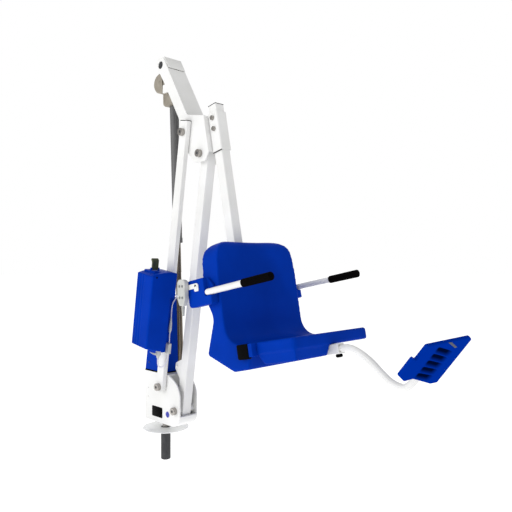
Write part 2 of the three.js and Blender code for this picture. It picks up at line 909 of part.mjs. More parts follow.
function inlineConnector() {
  const radius = connectorDiameter / 2;
  const neck = leadDiameter / 2 + 2 * gap;
  const length = connectorTop - connectorBottom;
  const shape = turned([
    [0, 0],
    [neck, 0],
    [radius, length * connectorTaperShare],
    [radius, length * connectorRingShare],
    [radius - discEdge, length * connectorRingShare + discEdge],
    [radius, length * connectorCollarShare + discEdge],
    [radius, length * connectorNeckShare],
    [neck, length],
    [0, length],
  ], 16);
  shape.translate(connectorX, connectorY, connectorBottom);
  return shape;
}

function leadClip() {
  const y0 = -boxFar + gap;
  const shape = rectangle(clipX - clipWidth / 2, y0, clipX + clipWidth / 2, y0 + clipDepth, clipCorner);
  const body = alongZ(shape, clipBottom, clipTop, discEdge, 4, 1);
  return cut(body, block(0, linkDepth / 2 + gap, -boxFar - overrun, -boxFar + 2 * clipDepth, 0, armLength));
}

// The plug hangs under the sloping bottom of the box
function boxPlug() {
  const radius = plugDiameter / 2;
  const shape = turned([
    [0, 0],
    [radius * plugTipShare, 0],
    [radius * plugShoulderShares[0], plugHeight * plugShoulderShares[1]],
    [radius, plugHeight * plugBodyShare],
    [radius, plugHeight],
    [0, plugHeight],
  ], 20);
  shape.translate(plugX, plugY, plugBottom);
  const slope = (boxBottomNear - boxBottomFar) / (boxNear - boxFar);
  const bottomAt = (y) => boxBottomFar + slope * (-boxFar - y) - gap;
  const under = new THREE.Shape();
  under.moveTo(-boxNear, bottomAt(-boxNear));
  under.lineTo(-boxFar + plugDiameter, bottomAt(-boxFar + plugDiameter));
  under.lineTo(-boxFar + plugDiameter, boxTopFar);
  under.lineTo(-boxNear, boxTopFar);
  under.closePath();
  return cut(solid(shape), alongX(under, plugX - plugDiameter, plugX + plugDiameter));
}

function plugLever() {
  const side = plugY - plugDiameter / 2 - gap;
  const foot = plugBottom + plugHeight * leverFootShare;
  const at = ([out, up]) => [side - plugDiameter * out, foot + plugHeight * up];
  const shape = new THREE.Shape();
  shape.moveTo(side, foot);
  shape.lineTo(side, foot + plugHeight * leverRootShare);
  shape.quadraticCurveTo(...at(leverTopShares), ...at(leverTipShares));
  shape.quadraticCurveTo(...at(leverUnderShares), side - leverThickness, foot);
  shape.closePath();
  return alongX(shape, plugX - leverWidth / 2, plugX + leverWidth / 2, 0, 6);
}

function batteryPack() {
  const halfWidth = batteryWidth / 2;
  const halfDepth = batteryDepth / 2;
  const shape = rectangle(
    batteryX - halfWidth, batteryY - halfDepth, batteryX + halfWidth, batteryY + halfDepth, batteryCorner,
  );
  const body = alongZ(shape, batteryFloor, batteryTop, discEdge, 4, 1);
  const lugs = [-1, 1].map((side) => {
    const inner = handleWidth / 2 + gap;
    const y0 = side > 0 ? batteryY + inner : batteryY - inner - handleLugThickness;
    return block(
      batteryX - handleThickness / 2, batteryX + handleThickness / 2, y0, y0 + handleLugThickness,
      batteryTop - gap, batteryTop + handleLugHeight,
    );
  });
  const pinHalf = handleWidth / 2 + handleLugThickness;
  const pinZ = batteryTop + handleLugHeight / 2;
  const pin = rodY(handlePin, batteryY - pinHalf, batteryY + pinHalf, batteryX, pinZ, 12);
  return join(body, ...lugs, pin);
}

function batteryHandle() {
  const z = batteryTop + handleLugHeight / 2;
  const shape = outline([
    [batteryX - handleThickness / 2, z - handleThickness / 2, handleThickness / 2 - gap],
    [batteryX + handleThickness / 2, z - handleThickness / 2, handleThickness / 2 - gap],
    [batteryX + handleThickness / 2, z + handleHeight - handleThickness, handleCorner],
    [batteryX - handleThickness / 2, z + handleHeight, handleCorner],
    [batteryX - handleThickness * handleHookShare, z + handleHeight - handleThickness / 2, handleCorner],
    [batteryX - handleThickness / 2, z + handleHeight * handleWaistShare, handleWaistRound],
  ]);
  const body = acrossY(shape, batteryY - handleWidth / 2, batteryY + handleWidth / 2, handleEdge, 2, 1);
  const bore = handlePin + 2 * boltClearance;
  return cut(body, rodY(bore, batteryY - handleWidth, batteryY + handleWidth, batteryX, z, 12));
}

piece(link, 'control_box', controlBox(), finish(blueShell, 0.4));
piece(link, 'battery_pack', batteryPack(), finish(blueShell, 0.45));
piece(link, 'battery_handle', batteryHandle(), finish('#2f3407', 0.5));
piece(link, 'box_lead', bent(leadRoute, leadDiameter, leadSides, 22), finish('#dcd9ea', 0.5));
piece(link, 'lead_connector', inlineConnector(), finish('#c9ccce', 0.5));
piece(link, 'connector_tail', bent(tailRoute, leadDiameter, leadSides, 8), finish('#dcd9ea', 0.5));
piece(link, 'lead_clip', leadClip(), finish('#b6b8ba', 0.5));
piece(link, 'plug_loop', bent(loopRoute, leadDiameter, leadSides, 24), finish('#cfd0d4', 0.5));
piece(link, 'box_plug', boxPlug(), finish('#b9bbbf', 0.45));
piece(link, 'plug_lever', plugLever(), finish('#b9bbbf', 0.45));

// Head bracket: two plates, the sloping web between them and the plate against the sleeve

const fromSeat = (u, w) => [
  seamX + u * Math.cos(seatTilt) - w * Math.sin(seatTilt) - upperX,
  seamZ + u * Math.sin(seatTilt) + w * Math.cos(seatTilt) - upperZ,
];
const mountTop = fromSeat(hangerAxis - sleeveOuter - gap, sleeveTop - webThickness);
const mountBottom = fromSeat(hangerAxis - sleeveOuter - gap, sleeveBottom + webThickness);
const [edgeSlopeX, edgeSlopeZ] = earSlopeShares;

// A point at a distance along the ear's slope and to one side of the ear's pin
const nearEar = (along, side) => [
  -earBack + along * edgeSlopeX - side * edgeSlopeZ,
  earRise + along * edgeSlopeZ + side * edgeSlopeX,
];

const headOutline = () => {
  const lugAlong = (earRise - lugTop) / -edgeSlopeZ;
  const [lugX] = nearEar(lugAlong, -earRearRadius);
  const lowerAlong = (earRise - lugBottom) / -edgeSlopeZ;
  const [lowerX] = nearEar(lowerAlong, -earRearRadius);
  return outline([
    [...nearEar(-earFrontRadius, earFrontRadius), headEdgeRound],
    [headShoulderX, headShoulderZ, headEdgeRound],
    [mountTop[0] - gap, mountTop[1], mountCorner],
    [mountBottom[0] - gap, mountBottom[1], mountCorner],
    [headBossRadius, -headBossRadius, headBossRadius / 2],
    [-headBossRadius, -headBossRadius, headBossRadius * headBossRoundShare],
    [-linkBack - linkBossReach, linkRise - headBossRadius / 2, headEdgeRound],
    [-linkBack - linkBossReach, linkRise + 2 * headBossRadius, headEdgeRound],
    [lowerX - 3 * gap, lugBottom, lugCorner],
    [lugX - lugReach / 2, lugBottom, lugCorner],
    [lugX - lugReach / 2, lugTop, lugCorner],
    [lugX, lugTop, mountCorner],
    [...nearEar(-earFrontRadius, -earRearRadius), headEdgeRound - mountCorner],
  ]);
};

function headBracket() {
  const near = acrossY(headOutline(), -plateHalfWidth, -plateInner, 0, 4);
  const far = acrossY(headOutline(), plateInner, plateHalfWidth, 0, 4);
  const inside = plateInner + gap;
  const webAlong = (earRise - headWebTop) / -edgeSlopeZ;
  const webStart = nearEar(webAlong, earFrontRadius);
  const webStartInner = nearEar(webAlong, earFrontRadius - webThickness);
  const [shoulderBack, shoulderDown] = webShoulderShares.map((share) => webThickness * share);
  const strip = outline([
    [...webStart, 0],
    [headShoulderX, headShoulderZ, headEdgeRound],
    [mountTop[0] - gap, mountTop[1], mountCorner],
    [mountBottom[0] - gap, mountBottom[1], 0],
    [mountBottom[0] - webThickness - gap, mountBottom[1], 0],
    [mountTop[0] - webThickness - gap, mountTop[1] - webThickness, 0],
    [headShoulderX - shoulderBack, headShoulderZ - shoulderDown, headEdgeRound - webThickness],
    [...webStartInner, 0],
  ]);
  const web = acrossY(strip, -inside, inside, 0, 4);
  const through = plateHalfWidth + overrun;
  const armHole = rodY(boltBore, -through, through, 0, 0, 20);
  const linkHole = rodY(boltBore, -through, -plateInner + overrun, -linkBack, linkRise, 20);
  const ear = rodY(earPinDiameter + 2 * boltClearance, -through, through, -earBack, earRise, 28);
  return cut(join(near, far, web), armHole, linkHole, ear);
}

function earPin() {
  const outer = plateHalfWidth - discEdge;
  const near = rodY(earPinDiameter, -outer, -plateInner, -earBack, earRise, 28);
  const far = rodY(earPinDiameter, plateInner, outer, -earBack, earRise, 28);
  const shank = rodY(earShankDiameter, gap - outer, outer - gap, -earBack, earRise, 20);
  const socketEnd = boltSocketDepth - plateHalfWidth;
  const socket = rodY(boltSocket, -plateHalfWidth - overrun, socketEnd, -earBack, earRise, 6);
  return cut(join(near, far, shank), socket);
}

piece(head, 'head_bracket', headBracket(), finish(whitePaint, 0.35));
piece(head, 'ear_pin', earPin(), finish('#3a3c40', 0.4, 0.7));
const headBolt = finish(polishedSteel, 0.2, 0.95);
piece(head, 'arm_upper_bolt', pivotBolt(-plateHalfWidth, plateHalfWidth, 0, 0), headBolt);
piece(head, 'link_upper_bolt', pivotBolt(-linkNear, -plateInner, -linkBack, linkRise), headBolt);

// Sleeve and hanger tube, in the tilted frame of the seat

const sleeveBoltPlaces = [sleeveTop - sleeveBoltInset, sleeveTop - sleeveBoltInset - sleeveBoltPitch];

// Each bolt goes through the near walls of the sleeve and the hanger
const sleeveHole = (z) => rodY(mountBore, -2 * sleeveOuter, 0, hangerAxis, z, 18);

function hangerSleeve() {
  const width = 2 * sleeveOuter;
  const corner = armCorner + sleeveWall / 2;
  const tube = squareTube(width, width, sleeveWall, corner, sleeveBottom, sleeveTop, hangerAxis, 0);
  return cut(tube, ...sleeveBoltPlaces.map(sleeveHole));
}

function hangerPost() {
  const width = hangerTube;
  const tube = squareTube(width, width, hangerWall, armCorner, hangerBottom, hangerTop, hangerAxis, 0);
  const seatHoles = [mountBoltLow, mountBoltHigh].map((z) => (
    rodX(mountBore, hangerAxis - width, hangerAxis + width, 0, z, 18)));
  return cut(tube, ...sleeveBoltPlaces.map(sleeveHole), ...seatHoles);
}

function sleeveBolt(z) {
  const face = -sleeveOuter - gap;
  const headPart = rodY(mountBoltHead, face - mountBoltHeadHeight, face, hangerAxis, z, 6);
  return join(headPart, rodY(mountBolt, face - gap, -hangerTube / 4, hangerAxis, z, 16));
}

function seatBolt(z) {
  const face = hangerAxis - hangerTube / 2 - gap;
  const headPart = rodX(mountBoltHead, face - mountBoltHeadHeight, face, 0, z, 6);
  return join(headPart, rodX(mountBolt, face - gap, -hangerFront + mountBoltDepth, 0, z, 16));
}

piece(seat, 'hanger_sleeve', hangerSleeve(), finish(whitePaint, 0.35));
piece(seat, 'hanger_post', hangerPost(), finish(whitePaint, 0.32));
sleeveBoltPlaces.forEach((z, i) => {
  piece(seat, `sleeve_bolt_${i + 1}`, sleeveBolt(z), finish('#55575a', 0.35, 0.8));
});

// Actuator: gear housing, motor, outer tube and rod

const gearOutline = (grow) => {
  const neck = gearNeck + grow;
  const tubeHalf = ramTubeDiameter / 2 + gearWall + grow;
  const rear = ramOffset - tubeHalf * gearRearShare;
  const waist = -ramTubeTop * gearWaistShare;
  return outline([
    [-neck, neck, neck * gearNeckRoundShare],
    [neck, neck, neck * gearNeckRoundShare],
    [ramOffset + tubeHalf, waist, neck],
    [ramOffset + tubeHalf, gap - ramTubeTop - grow, housingRound],
    [rear, gap - ramTubeTop - grow, 2 * housingRound],
    [rear, waist, housingRound],
  ]);
};

function gearHousing() {
  const width = plateInner - 2 * gearWall;
  const body = acrossY(gearOutline(0), -width, width, housingRound / 2, 3, 2);
  const pinHole = rodY(earShankDiameter + 2 * boltClearance, -plateHalfWidth, plateHalfWidth, 0, 0, 20);
  return cut(body, pinHole);
}

// The motor drum lies across the housing's rear, seated in a round cut
const motorX = -ramOffset - motorDiameter * motorOffsetShare;
const motorZ = -motorDrop;

function ramMotor() {
  const profile = [
    [0, -motorHalfWidth],
    [motorDiameter / 2 - housingRound / 2, -motorHalfWidth],
    [motorDiameter / 2, -motorHalfWidth + housingRound / 2],
    [motorDiameter / 2, motorHalfWidth - housingRound / 2],
    [motorDiameter / 2 - housingRound / 2, motorHalfWidth],
    [0, motorHalfWidth],
  ];
  const drum = turned(profile, 36);
  drum.rotateX(-Math.PI / 2);
  drum.translate(motorX, 0, motorZ);
  const cover = acrossY(gearOutline(gap), -plateHalfWidth, plateHalfWidth, 0, 3);
  return cut(solid(drum), cover);
}

// The outer tube is open below, with a stepped collar that guides the rod
function ramTube() {
  const outer = ramTubeDiameter / 2;
  const collar = ramCollarDiameter / 2;
  const bore = ramBore / 2;
  const guide = rodDiameter / 2 + gap;
  const wall = outer - bore;
  const shape = turned([
    [0, -ramTubeTop],
    [outer, -ramTubeTop],
    [outer, -ramTubeEnd],
    [collar, -ramTubeEnd - discEdge],
    [collar, -ramTubeEnd - ramCollarLength],
    [guide, -ramTubeEnd - ramCollarLength],
    [guide, -ramTubeEnd],
    [bore, -ramTubeEnd + wall],
    [bore, -ramTubeTop - 2 * wall],
    [0, -ramTubeTop - 2 * wall],
  ].reverse(), 32);
  shape.translate(ramOffset, 0, 0);
  return shape;
}

// The rod has two flats above its eye, which pass between the clevis's stub pins
function ramRod() {
  const top = rodEngage - ramTubeEnd;
  const flatTop = rodFlatLength - rodEyeDrop;
  const half = rodEyeWidth / 2 - gap;
  const stem = rodZ(rodDiameter, flatTop - gap, top, ramOffset, 0, 24);
  const eye = rodY(2 * rodEyeRadius, -half, half, ramOffset, -rodEyeDrop, 24);
  const flats = block(ramOffset - rodEyeRadius, ramOffset + rodEyeRadius, -half, half, -rodEyeDrop, flatTop);
  const neck = rodZ(rodDiameter, -rodEyeDrop, flatTop, ramOffset, 0, 24).intersect(flats);
  const hole = rodY(rodEyeHole, -rodEyeWidth, rodEyeWidth, ramOffset, -rodEyeDrop, 16);
  return cut(join(stem, eye, neck), hole);
}

piece(ram, 'gear_housing', gearHousing(), finish('#a59d90', 0.5));
piece(ram, 'ram_motor', ramMotor(), finish('#a59d90', 0.5));
piece(ram, 'ram_tube', ramTube(), finish('#6b6b6b', 0.4, 0.5));
piece(ram, 'ram_rod', ramRod(), finish('#7c766c', 0.22, 0.95));

// Seat shell: the side profile crossed with the front outline

const seatProfile = () => outline([
  [-backThickness - backFront + gap, backTop, backRound],
  [-backFront, backTop, backRound],
  [-seatDepthRear, 0, seatFillet],
  [-hingeBack + hingeDrop, 0, hingeDrop - gap],
  [-hingeBack + hingeDrop, -hingeDrop - 2 * gap, 0],
  [-hingeBack, -baseBlockDepth + 2 * discEdge, shellToeRound],
  [-seatDepthRear + waistHeight / 5, -baseBlockDepth, shellHeelRound],
  [-baseBlockRear, -waistHeight / 5, shellHeelRound],
  [-waistBack, waistHeight, seatFillet * waistRoundShare],
  [-backThickness - backFront + gap, waistHeight + seatFillet, seatFillet * waistRoundShare],
]);

const seatFrontOutline = () => {
  const shape = new THREE.Shape();
  const side = seatHalfWidth;
  shape.moveTo(-side, -baseBlockDepth - overrun);
  shape.lineTo(side, -baseBlockDepth - overrun);
  shape.lineTo(side, blockTop);
  shape.lineTo(side - backDip, backTop - backCorner);
  shape.quadraticCurveTo(side - backDip, backTop, side - backDip - backCorner, backTop);
  shape.quadraticCurveTo(0, backTop - 2 * backDip, backDip + backCorner - side, backTop);
  shape.quadraticCurveTo(backDip - side, backTop, backDip - side, backTop - backCorner);
  shape.lineTo(-side, blockTop);
  shape.closePath();
  return shape;
};

function seatShell() {
  const profile = acrossY(seatProfile(), -seatHalfWidth, seatHalfWidth, 0, 5);
  const front = alongX(seatFrontOutline(), -baseBlockRear - shellEdge, shellEdge, shellEdge, 9, 2);
  const spine = block(
    -hangerFront + gap, -waistBack + shellEdge, -spineHalfWidth, spineHalfWidth, spineBottom, spineTop,
  );
  const bores = [mountBoltLow, mountBoltHigh].map((z) => (
    rodX(mountBore, -hangerFront - overrun, -hangerFront + mountBoltDepth + overrun, 0, z, 18)));
  const through = seatHalfWidth + overrun;
  const hinge = rodY(hingeRodDiameter + 2 * boltClearance, -through, through, -hingeBack, -hingeDrop, 20);
  return cut(join(profile.intersect(front), spine), hinge, ...bores);
}

// Arm blocks: a cheek against the shell and a stepped outer part that the tube rests on
function armBlock(side) {
  const lower = armrestHeight - armrestTube / 2 - 2 * gap;
  const cheek = outline([
    [-blockRear, blockBottom, blockHeelRound],
    [-blockLowerFront, blockBottom, blockToeRound],
    [-blockLowerFront, lower, blockStepRound],
    [-blockCheekFront, blockTop - blockTop / 9, blockHeelRound],
    [-blockUpperFront, blockTop, blockTopRound],
    [-blockRear, blockTop, blockRearRound],
  ]);
  const step = outline([
    [-blockRear, blockBottom, blockHeelRound],
    [-blockLowerFront, blockBottom, blockToeRound],
    [-blockLowerFront, lower, blockStepRound],
    [-blockUpperFront, lower, 0],
    [-blockUpperFront, blockTop, blockToeRound],
    [-blockRear, blockTop, blockRearRound],
  ]);
  const y0 = seatHalfWidth + gap;
  const inner = side > 0 ? acrossY(cheek, y0, blockCheek) : acrossY(cheek, -blockCheek, -y0);
  const middle = (y0 + blockCheek) / 2;
  const outer = side > 0 ? acrossY(step, middle, blockOuter, 0) : acrossY(step, -blockOuter, -middle, 0);
  const pinEnd = armrestY - armrestTube / 2 + 2 * armrestWall;
  const pin = side > 0
    ? rodY(armrestPin, middle, pinEnd, -armrestPivot, armrestHeight, 18)
    : rodY(armrestPin, -pinEnd, -middle, -armrestPivot, armrestHeight, 18);
  return join(inner, outer, pin);
}

// An armrest tube with a domed root, open under its grip
function armrest(side) {
  const outer = armrestTube / 2;
  const inner = outer - armrestWall;
  const length = armrestPivot + armrestReach;
  const steps = 4;
  const dome = (radius) => Array.from({ length: steps + 1 }, (_, i) => {
    const angle = (i / steps) * (Math.PI / 2);
    return [radius * Math.sin(angle), -radius * Math.cos(angle)];
  });
  const profile = [...dome(outer), [outer, length], [inner, length], ...dome(inner).reverse()];
  const shape = turned(profile, 24);
  shape.rotateY(Math.PI / 2);
  shape.translate(-armrestPivot, side * armrestY, armrestHeight);
  const hole = armrestPin + 2 * boltClearance;
  const from = side > 0 ? armrestY - armrestTube : -armrestY;
  return cut(solid(shape), rodY(hole, from, from + armrestTube, -armrestPivot, armrestHeight, 18));
}

function grip(side) {
  const bore = armrestTube / 2 + gap;
  const outer = gripDiameter / 2;
  const shape = turned([
    [0, gap],
    [bore, gap],
    [bore, gripCap - gripLength],
    [outer - discEdge, gripCap - gripLength],
    [outer, gripCap + discEdge - gripLength],
    [outer, gripCap - discEdge],
    [outer - discEdge, gripCap + gap],
    [0, gripCap + gap],
  ], 24);
  shape.rotateY(Math.PI / 2);
  shape.translate(armrestReach, side * armrestY, armrestHeight);
  return shape;
}

piece(seat, 'seat_shell', seatShell(), finish(blueShell, 0.42));
piece(seat, 'arm_block_near', armBlock(-1), finish(blueShell, 0.42));
piece(seat, 'arm_block_far', armBlock(1), finish(blueShell, 0.42));
piece(seat, 'seat_bolt_lower', seatBolt(mountBoltLow), finish(polishedSteel, 0.3, 0.9));
piece(seat, 'seat_bolt_upper', seatBolt(mountBoltHigh), finish(polishedSteel, 0.3, 0.9));
piece(seat, 'armrest_near', armrest(-1), finish(whitePaint, 0.35));
piece(seat, 'armrest_far', armrest(1), finish(whitePaint, 0.35));
piece(seat, 'grip_near', grip(-1), finish(blackPlastic, 0.85));
piece(seat, 'grip_far', grip(1), finish(blackPlastic, 0.85));

// Seat pan with its keel, end knuckles and hinge rod

function seatPan() {
  const [rearRound, frontRound] = panCornerShares.map((share) => panEdge * share);
  const top = outline([
    [-panSeam, -panHalfWidth, rearRound],
    [panLength, -panHalfWidth, frontRound],
    [panLength, panHalfWidth, frontRound],
    [-panSeam, panHalfWidth, rearRound],
  ]);
  const band = alongZ(top, -panThickness, 0, panEdge, 3, 2);
  const keelShape = new THREE.Shape();
  keelShape.moveTo(-keelNear, -panThickness / 2);
  keelShape.lineTo(-keelNear, -panThickness);
  keelShape.lineTo(-keelNear + keelInset, -keelDepth);
  keelShape.lineTo(keelFar - keelInset, -keelDepth);
  keelShape.lineTo(keelFar, -panThickness);
  keelShape.lineTo(keelFar, -panThickness / 2);
  keelShape.closePath();
  const keel = alongX(keelShape, keelRear, keelFront, 0);
  const rake = outline([
    [keelRear, -panThickness / 2, 0],
    [keelFront, -panThickness / 2, 0],
    [keelFront, -panThickness, 0],
    [keelFront - keelInset, -keelDepth, keelRoundFront],
    [keelRear + 2 * keelInset, -keelDepth, keelRoundRear],
    [keelRear, -panThickness, 0],
  ]);
  const raked = keel.intersect(acrossY(rake, -keelNear, keelFar, 0, 3));
  const slots = [-1, 1].map((side) => {
    const y0 = side > 0 ? panHalfWidth - knuckleThickness / 2 : -panHalfWidth - overrun;
    const y1 = y0 + knuckleThickness / 2 + overrun;
    return block(-panSeam - overrun, knuckleProng + gap, y0, y1, -panThickness - overrun, overrun);
  });
  return cut(join(band, raked), ...slots);
}

// A knuckle turns about the hinge rod and holds the end of the pan between two prongs
function knuckle(side) {
  const rear = -hingeBack - knuckleDepth / 2;
  const top = -hingeDrop + knuckleHeight / 2;
  const bottom = -hingeDrop - knuckleHeight / 2;
  const shape = outline([
    [rear, bottom, knuckleHeight / 2 - 2 * gap],
    [-panSeam - gap, bottom, knuckleCorner],
    [-panSeam - gap, top, knuckleCorner],
    [rear, top, knuckleHeight / 2 - 2 * gap],
  ]);
  const y0 = seatHalfWidth + gap;
  const y1 = y0 + knuckleThickness;
  const span = (from, to) => (side > 0 ? [from, to] : [-to, -from]);
  const ear = acrossY(shape, ...span(y0, y1), knuckleEdge, 4, 1);
  const [strapLow, strapHigh] = span(panHalfWidth - knuckleThickness / 2 + gap, y1 - knuckleProngThickness);
  const strapBottom = -panThickness + knuckleProngThickness;
  const strap = block(
    -hingeBack + hingeRodDiameter, knuckleProng, strapLow, strapHigh, strapBottom, -knuckleProngThickness,
  );
  const clear = acrossY(seatProfileClear(), ...span(0, y0));
  const bore = hingeRodDiameter + 2 * boltClearance;
  const hole = rodY(bore, ...span(0, y1 + overrun), -hingeBack, -hingeDrop, 20);
  return cut(join(ear, strap), clear, hole);
}

const seatProfileClear = () => outline([
  [-seatDepthRear, -baseBlockDepth, 0],
  [-panSeam, -baseBlockDepth, 0],
  [-panSeam, seatFillet, 0],
  [-seatDepthRear, seatFillet, 0],
]);

function hingeRod() {
  const end = seatHalfWidth + knuckleThickness + 2 * gap;
  return rodY(hingeRodDiameter, -end, end, -hingeBack, -hingeDrop, 20);
}

piece(seat, 'seat_pan', seatPan(), finish(blueShell, 0.42));
piece(seat, 'pan_knuckle_near', knuckle(-1), finish(blackPlastic, 0.6));
piece(seat, 'pan_knuckle_far', knuckle(1), finish(blackPlastic, 0.6));
piece(seat, 'hinge_rod', hingeRod(), finish(shadeWhite, 0.3, 0.8));

// Footrest receiver, tube and knob

const receiverTop = -panThickness - gap;
const receiverAxis = receiverTop - receiverWidth / 2;

function footReceiver() {
  const half = receiverWidth / 2;
  const inner = half - receiverWall;
  const outerShape = rectangle(-half, receiverAxis - half, half, receiverAxis + half, receiverCorner);
  const innerShape = rectangle(-inner, receiverAxis - inner, inner, receiverAxis + inner, receiverBoreCorner);
  const tube = cut(
    alongX(outerShape, receiverRear, receiverFront, 0, 3),
    alongX(innerShape, receiverRear - overrun, receiverFront + overrun, 0, 3),
  );
  const knobBore = knobStem + 2 * boltClearance;
  const knobHole = rodZ(knobBore, receiverAxis - receiverWidth, receiverAxis, knobX, 0, 16);
  const pegX = receiverFront - receiverPeg;
  const pegZ = receiverAxis - half / 2;
  const peg = rodY(receiverPeg, half - receiverWall / 2, half + receiverPegLength, pegX, pegZ, 16);
  const bore = alongX(innerShape, receiverRear - overrun, receiverFront + overrun, 0, 3);
  return cut(join(tube, peg), knobHole, bore);
}

const knobX = receiverFront - knobDiameter / 2 - knobSetback;

// The footplate's frame, and a point in it as a place on the seat's middle plane
const [footU, footW] = toSeat(seamX + plateTopForward, seamZ + plateTopRise);
const footTurn = seatTilt + Math.PI - footTiltFromVertical;
const footSocketAxis = -footThickness - (footSocketDepth - footThickness) / 2 + footSocketWall / 2;
const onFoot = (v, depth) => [
  footU + v * Math.cos(footTurn) + depth * Math.sin(footTurn),
  0,
  footW - v * Math.sin(footTurn) + depth * Math.cos(footTurn),
];

// The S-bend between the receiver's mouth and the footplate, forward and down as shares of its reach and drop
const bendShares = [
  [0.536, 0.272],
  [0.6, 0.336],
  [0.69, 0.484],
  [0.77, 0.672],
  [0.83, 0.796],
  [0.894, 0.868],
  [0.94, 0.888],
];

function footTubeShape() {
  const route = [
    [footTubeTail, 0, receiverAxis],
    [receiverFront, 0, receiverAxis],
    [receiverFront + footTube / 2, 0, receiverAxis],
    ...bendShares.map(([forward, down]) => [bendReach * forward, 0, -bendDrop * down]),
    onFoot(footSocketEnd + 6 * footSocketWall, footSocketAxis),
    onFoot(footSocketEnd + 2 * footSocketWall, footSocketAxis),
    onFoot(footSocketStart + footSocketWall + gap, footSocketAxis),
  ];
  const bar = bent(route, footTube, footTubeSides, 34);
  return solid(bar);
}

function footKnob() {
  const seatFace = receiverAxis - receiverWidth / 2 - gap;
  const cap = turned([
    [0, -knobHeight],
    [knobDiameter / 2 - knobTipChamfer, -knobHeight],
    [knobDiameter / 2, -knobHeight + knobBevel],
    [knobDiameter / 2, -knobBevel],
    [knobDiameter / 2 - knobShoulder, 0],
    [0, 0],
  ], 14);
  cap.translate(knobX, 0, seatFace);
  const top = receiverAxis - (receiverWidth - receiverWall) / 2;
  return join(solid(cap), rodZ(knobStem, seatFace - gap, top, knobX, 0, 16));
}

// Footplate: a cranked plate with scooped treads, in its own plane under the top edge
const footShares = [
  [0.31, -0.009],
  [0.386, 0.045],
  [0.4, 1],
  [0.254, 0.982],
  [-0.251, 0.709],
  [-0.408, 0.705],
  [-0.585, 0.55],
  [-0.582, 0.195],
  [-0.487, 0.268],
  [-0.482, -0.005],
];

function footplate() {
  const shape = outline(footShares.map(([y, v]) => [y * footSpan, -v * footDrop, panEdge / 2]));
  const plate = alongZ(shape, -footThickness, 0, footEdge, 2, 1);
  const treads = Array.from({ length: treadCount }, (_, i) => {
    const v = treadFirst + treadPitch * i;
    const geometry = new THREE.CapsuleGeometry(treadRadius, treadLength - treadRadius, 2, 12);
    geometry.rotateZ(Math.PI / 2 - treadSlant);
    geometry.translate(treadCentre, -v, treadRadius - treadDepth);
    return solid(geometry);
  });
  const half = footSocketWidth / 2;
  const socket = block(-half, half, -footSocketEnd, -footSocketStart, -footSocketDepth, gap - footThickness);
  const bore = new THREE.CylinderGeometry(footTube / 2 + gap, footTube / 2 + gap, footDrop, 24);
  bore.translate(0, -footSocketStart - footSocketWall - footDrop / 2, footSocketAxis);
  return cut(join(plate, socket), solid(bore), ...treads);
}

const footFrame = new THREE.Group();
footFrame.position.set(footU, 0, footW);
footFrame.rotation.set(0, footTurn, 0);
seat.add(footFrame);
const plateFrame = new THREE.Group();
plateFrame.rotation.z = Math.PI / 2;
footFrame.add(plateFrame);

piece(seat, 'foot_receiver', footReceiver(), finish(shadeWhite, 0.35));
piece(seat, 'foot_tube', footTubeShape(), finish(whitePaint, 0.35));
piece(seat, 'foot_knob', footKnob(), finish(blackPlastic, 0.7));
piece(plateFrame, 'footplate', footplate(), finish(blueShell, 0.42));

// Handset on its hook

const [handsetU, handsetW] = toSeat(seamX - handsetBack, seamZ + handsetRise);

function handsetHook() {
  const y1 = -blockOuter - gap;
  const low = handsetW - hookRadius / 2;
  const middle = handsetW + hookRadius / 2;
  const high = handsetW + 2 * hookRadius;
  const shape = outline([
    [-hangerFront - hookRadius, low, hookRootRound],
    [-hangerFront + hookRadius, low, hookRootRound],
    [-hangerFront + hookRadius, high, hookCrownRound],
    [handsetU - hookRadius, high, hookTipRound],
    [handsetU - hookRadius, middle, hookTipRound],
    [-hangerFront - hookRadius, middle, 0],
  ]);
  const plate = acrossY(shape, y1 - hookThickness, y1, 0, 4);
  const boltX = -hangerFront + hookRadius / 6;
  const boltZ = handsetW + hookRadius * hookBoltShare;
  const boltFace = y1 - hookThickness - hookBoltHead;
  const bolt = rodY(hookRadius * hookBoltShare, boltFace, y1 - gap, boltX, boltZ, 12);
  return join(plate, bolt);
}

const handset = new THREE.Group();
handset.position.set(handsetU, -handsetY, handsetW);
handset.rotation.y = seatTilt - handsetTilt;
seat.add(handset);

const buttonPlaces = [[-1, 0], [1, 0], [-1, 1], [1, 1]].map(([side, row]) => [
  (side * buttonSpacing) / 2,
  handsetHeight / 2 - buttonRowTop - row * buttonRow,
]);

function handsetBody() {
  const half = handsetWidth / 2;
  const foot = half * handsetFootShare;
  const footRound = half * handsetFootRoundShare;
  const waistRound = half * handsetWaistRoundShare;
  const topRound = half * handsetTopRoundShare;
  const shape = outline([
    [-foot, -handsetHeight / 2, footRound],
    [foot, -handsetHeight / 2, footRound],
    [half, -handsetHeight / 4, waistRound],
    [half, handsetHeight / 2, topRound],
    [-half, handsetHeight / 2, topRound],
    [-half, -handsetHeight / 4, waistRound],
  ]);
  const body = acrossY(shape, -handsetDepth / 2, handsetDepth / 2, handsetEdge, 3, 2);
  const face = -handsetDepth / 2;
  const wells = buttonPlaces.map(([x, z]) => (
    rodY(buttonDiameter + 2 * gap, face - overrun, face + buttonDepth + gap, x, z, 16)));
  const tail = turned([
    [0, 0],
    [tailEnd / 2, 0],
    [tailTop / 2, tailLength],
    [0, tailLength],
  ], 14);
  tail.translate(0, 0, -handsetHeight / 2 - tailLength + tailInset);
  return cut(join(body, solid(tail)), ...wells);
}

function handsetButton([x, z]) {
  const face = -handsetDepth / 2 - buttonProud;
  return rodY(buttonDiameter, face, -handsetDepth / 2 + buttonDepth - buttonProud, x, z, 16);
}

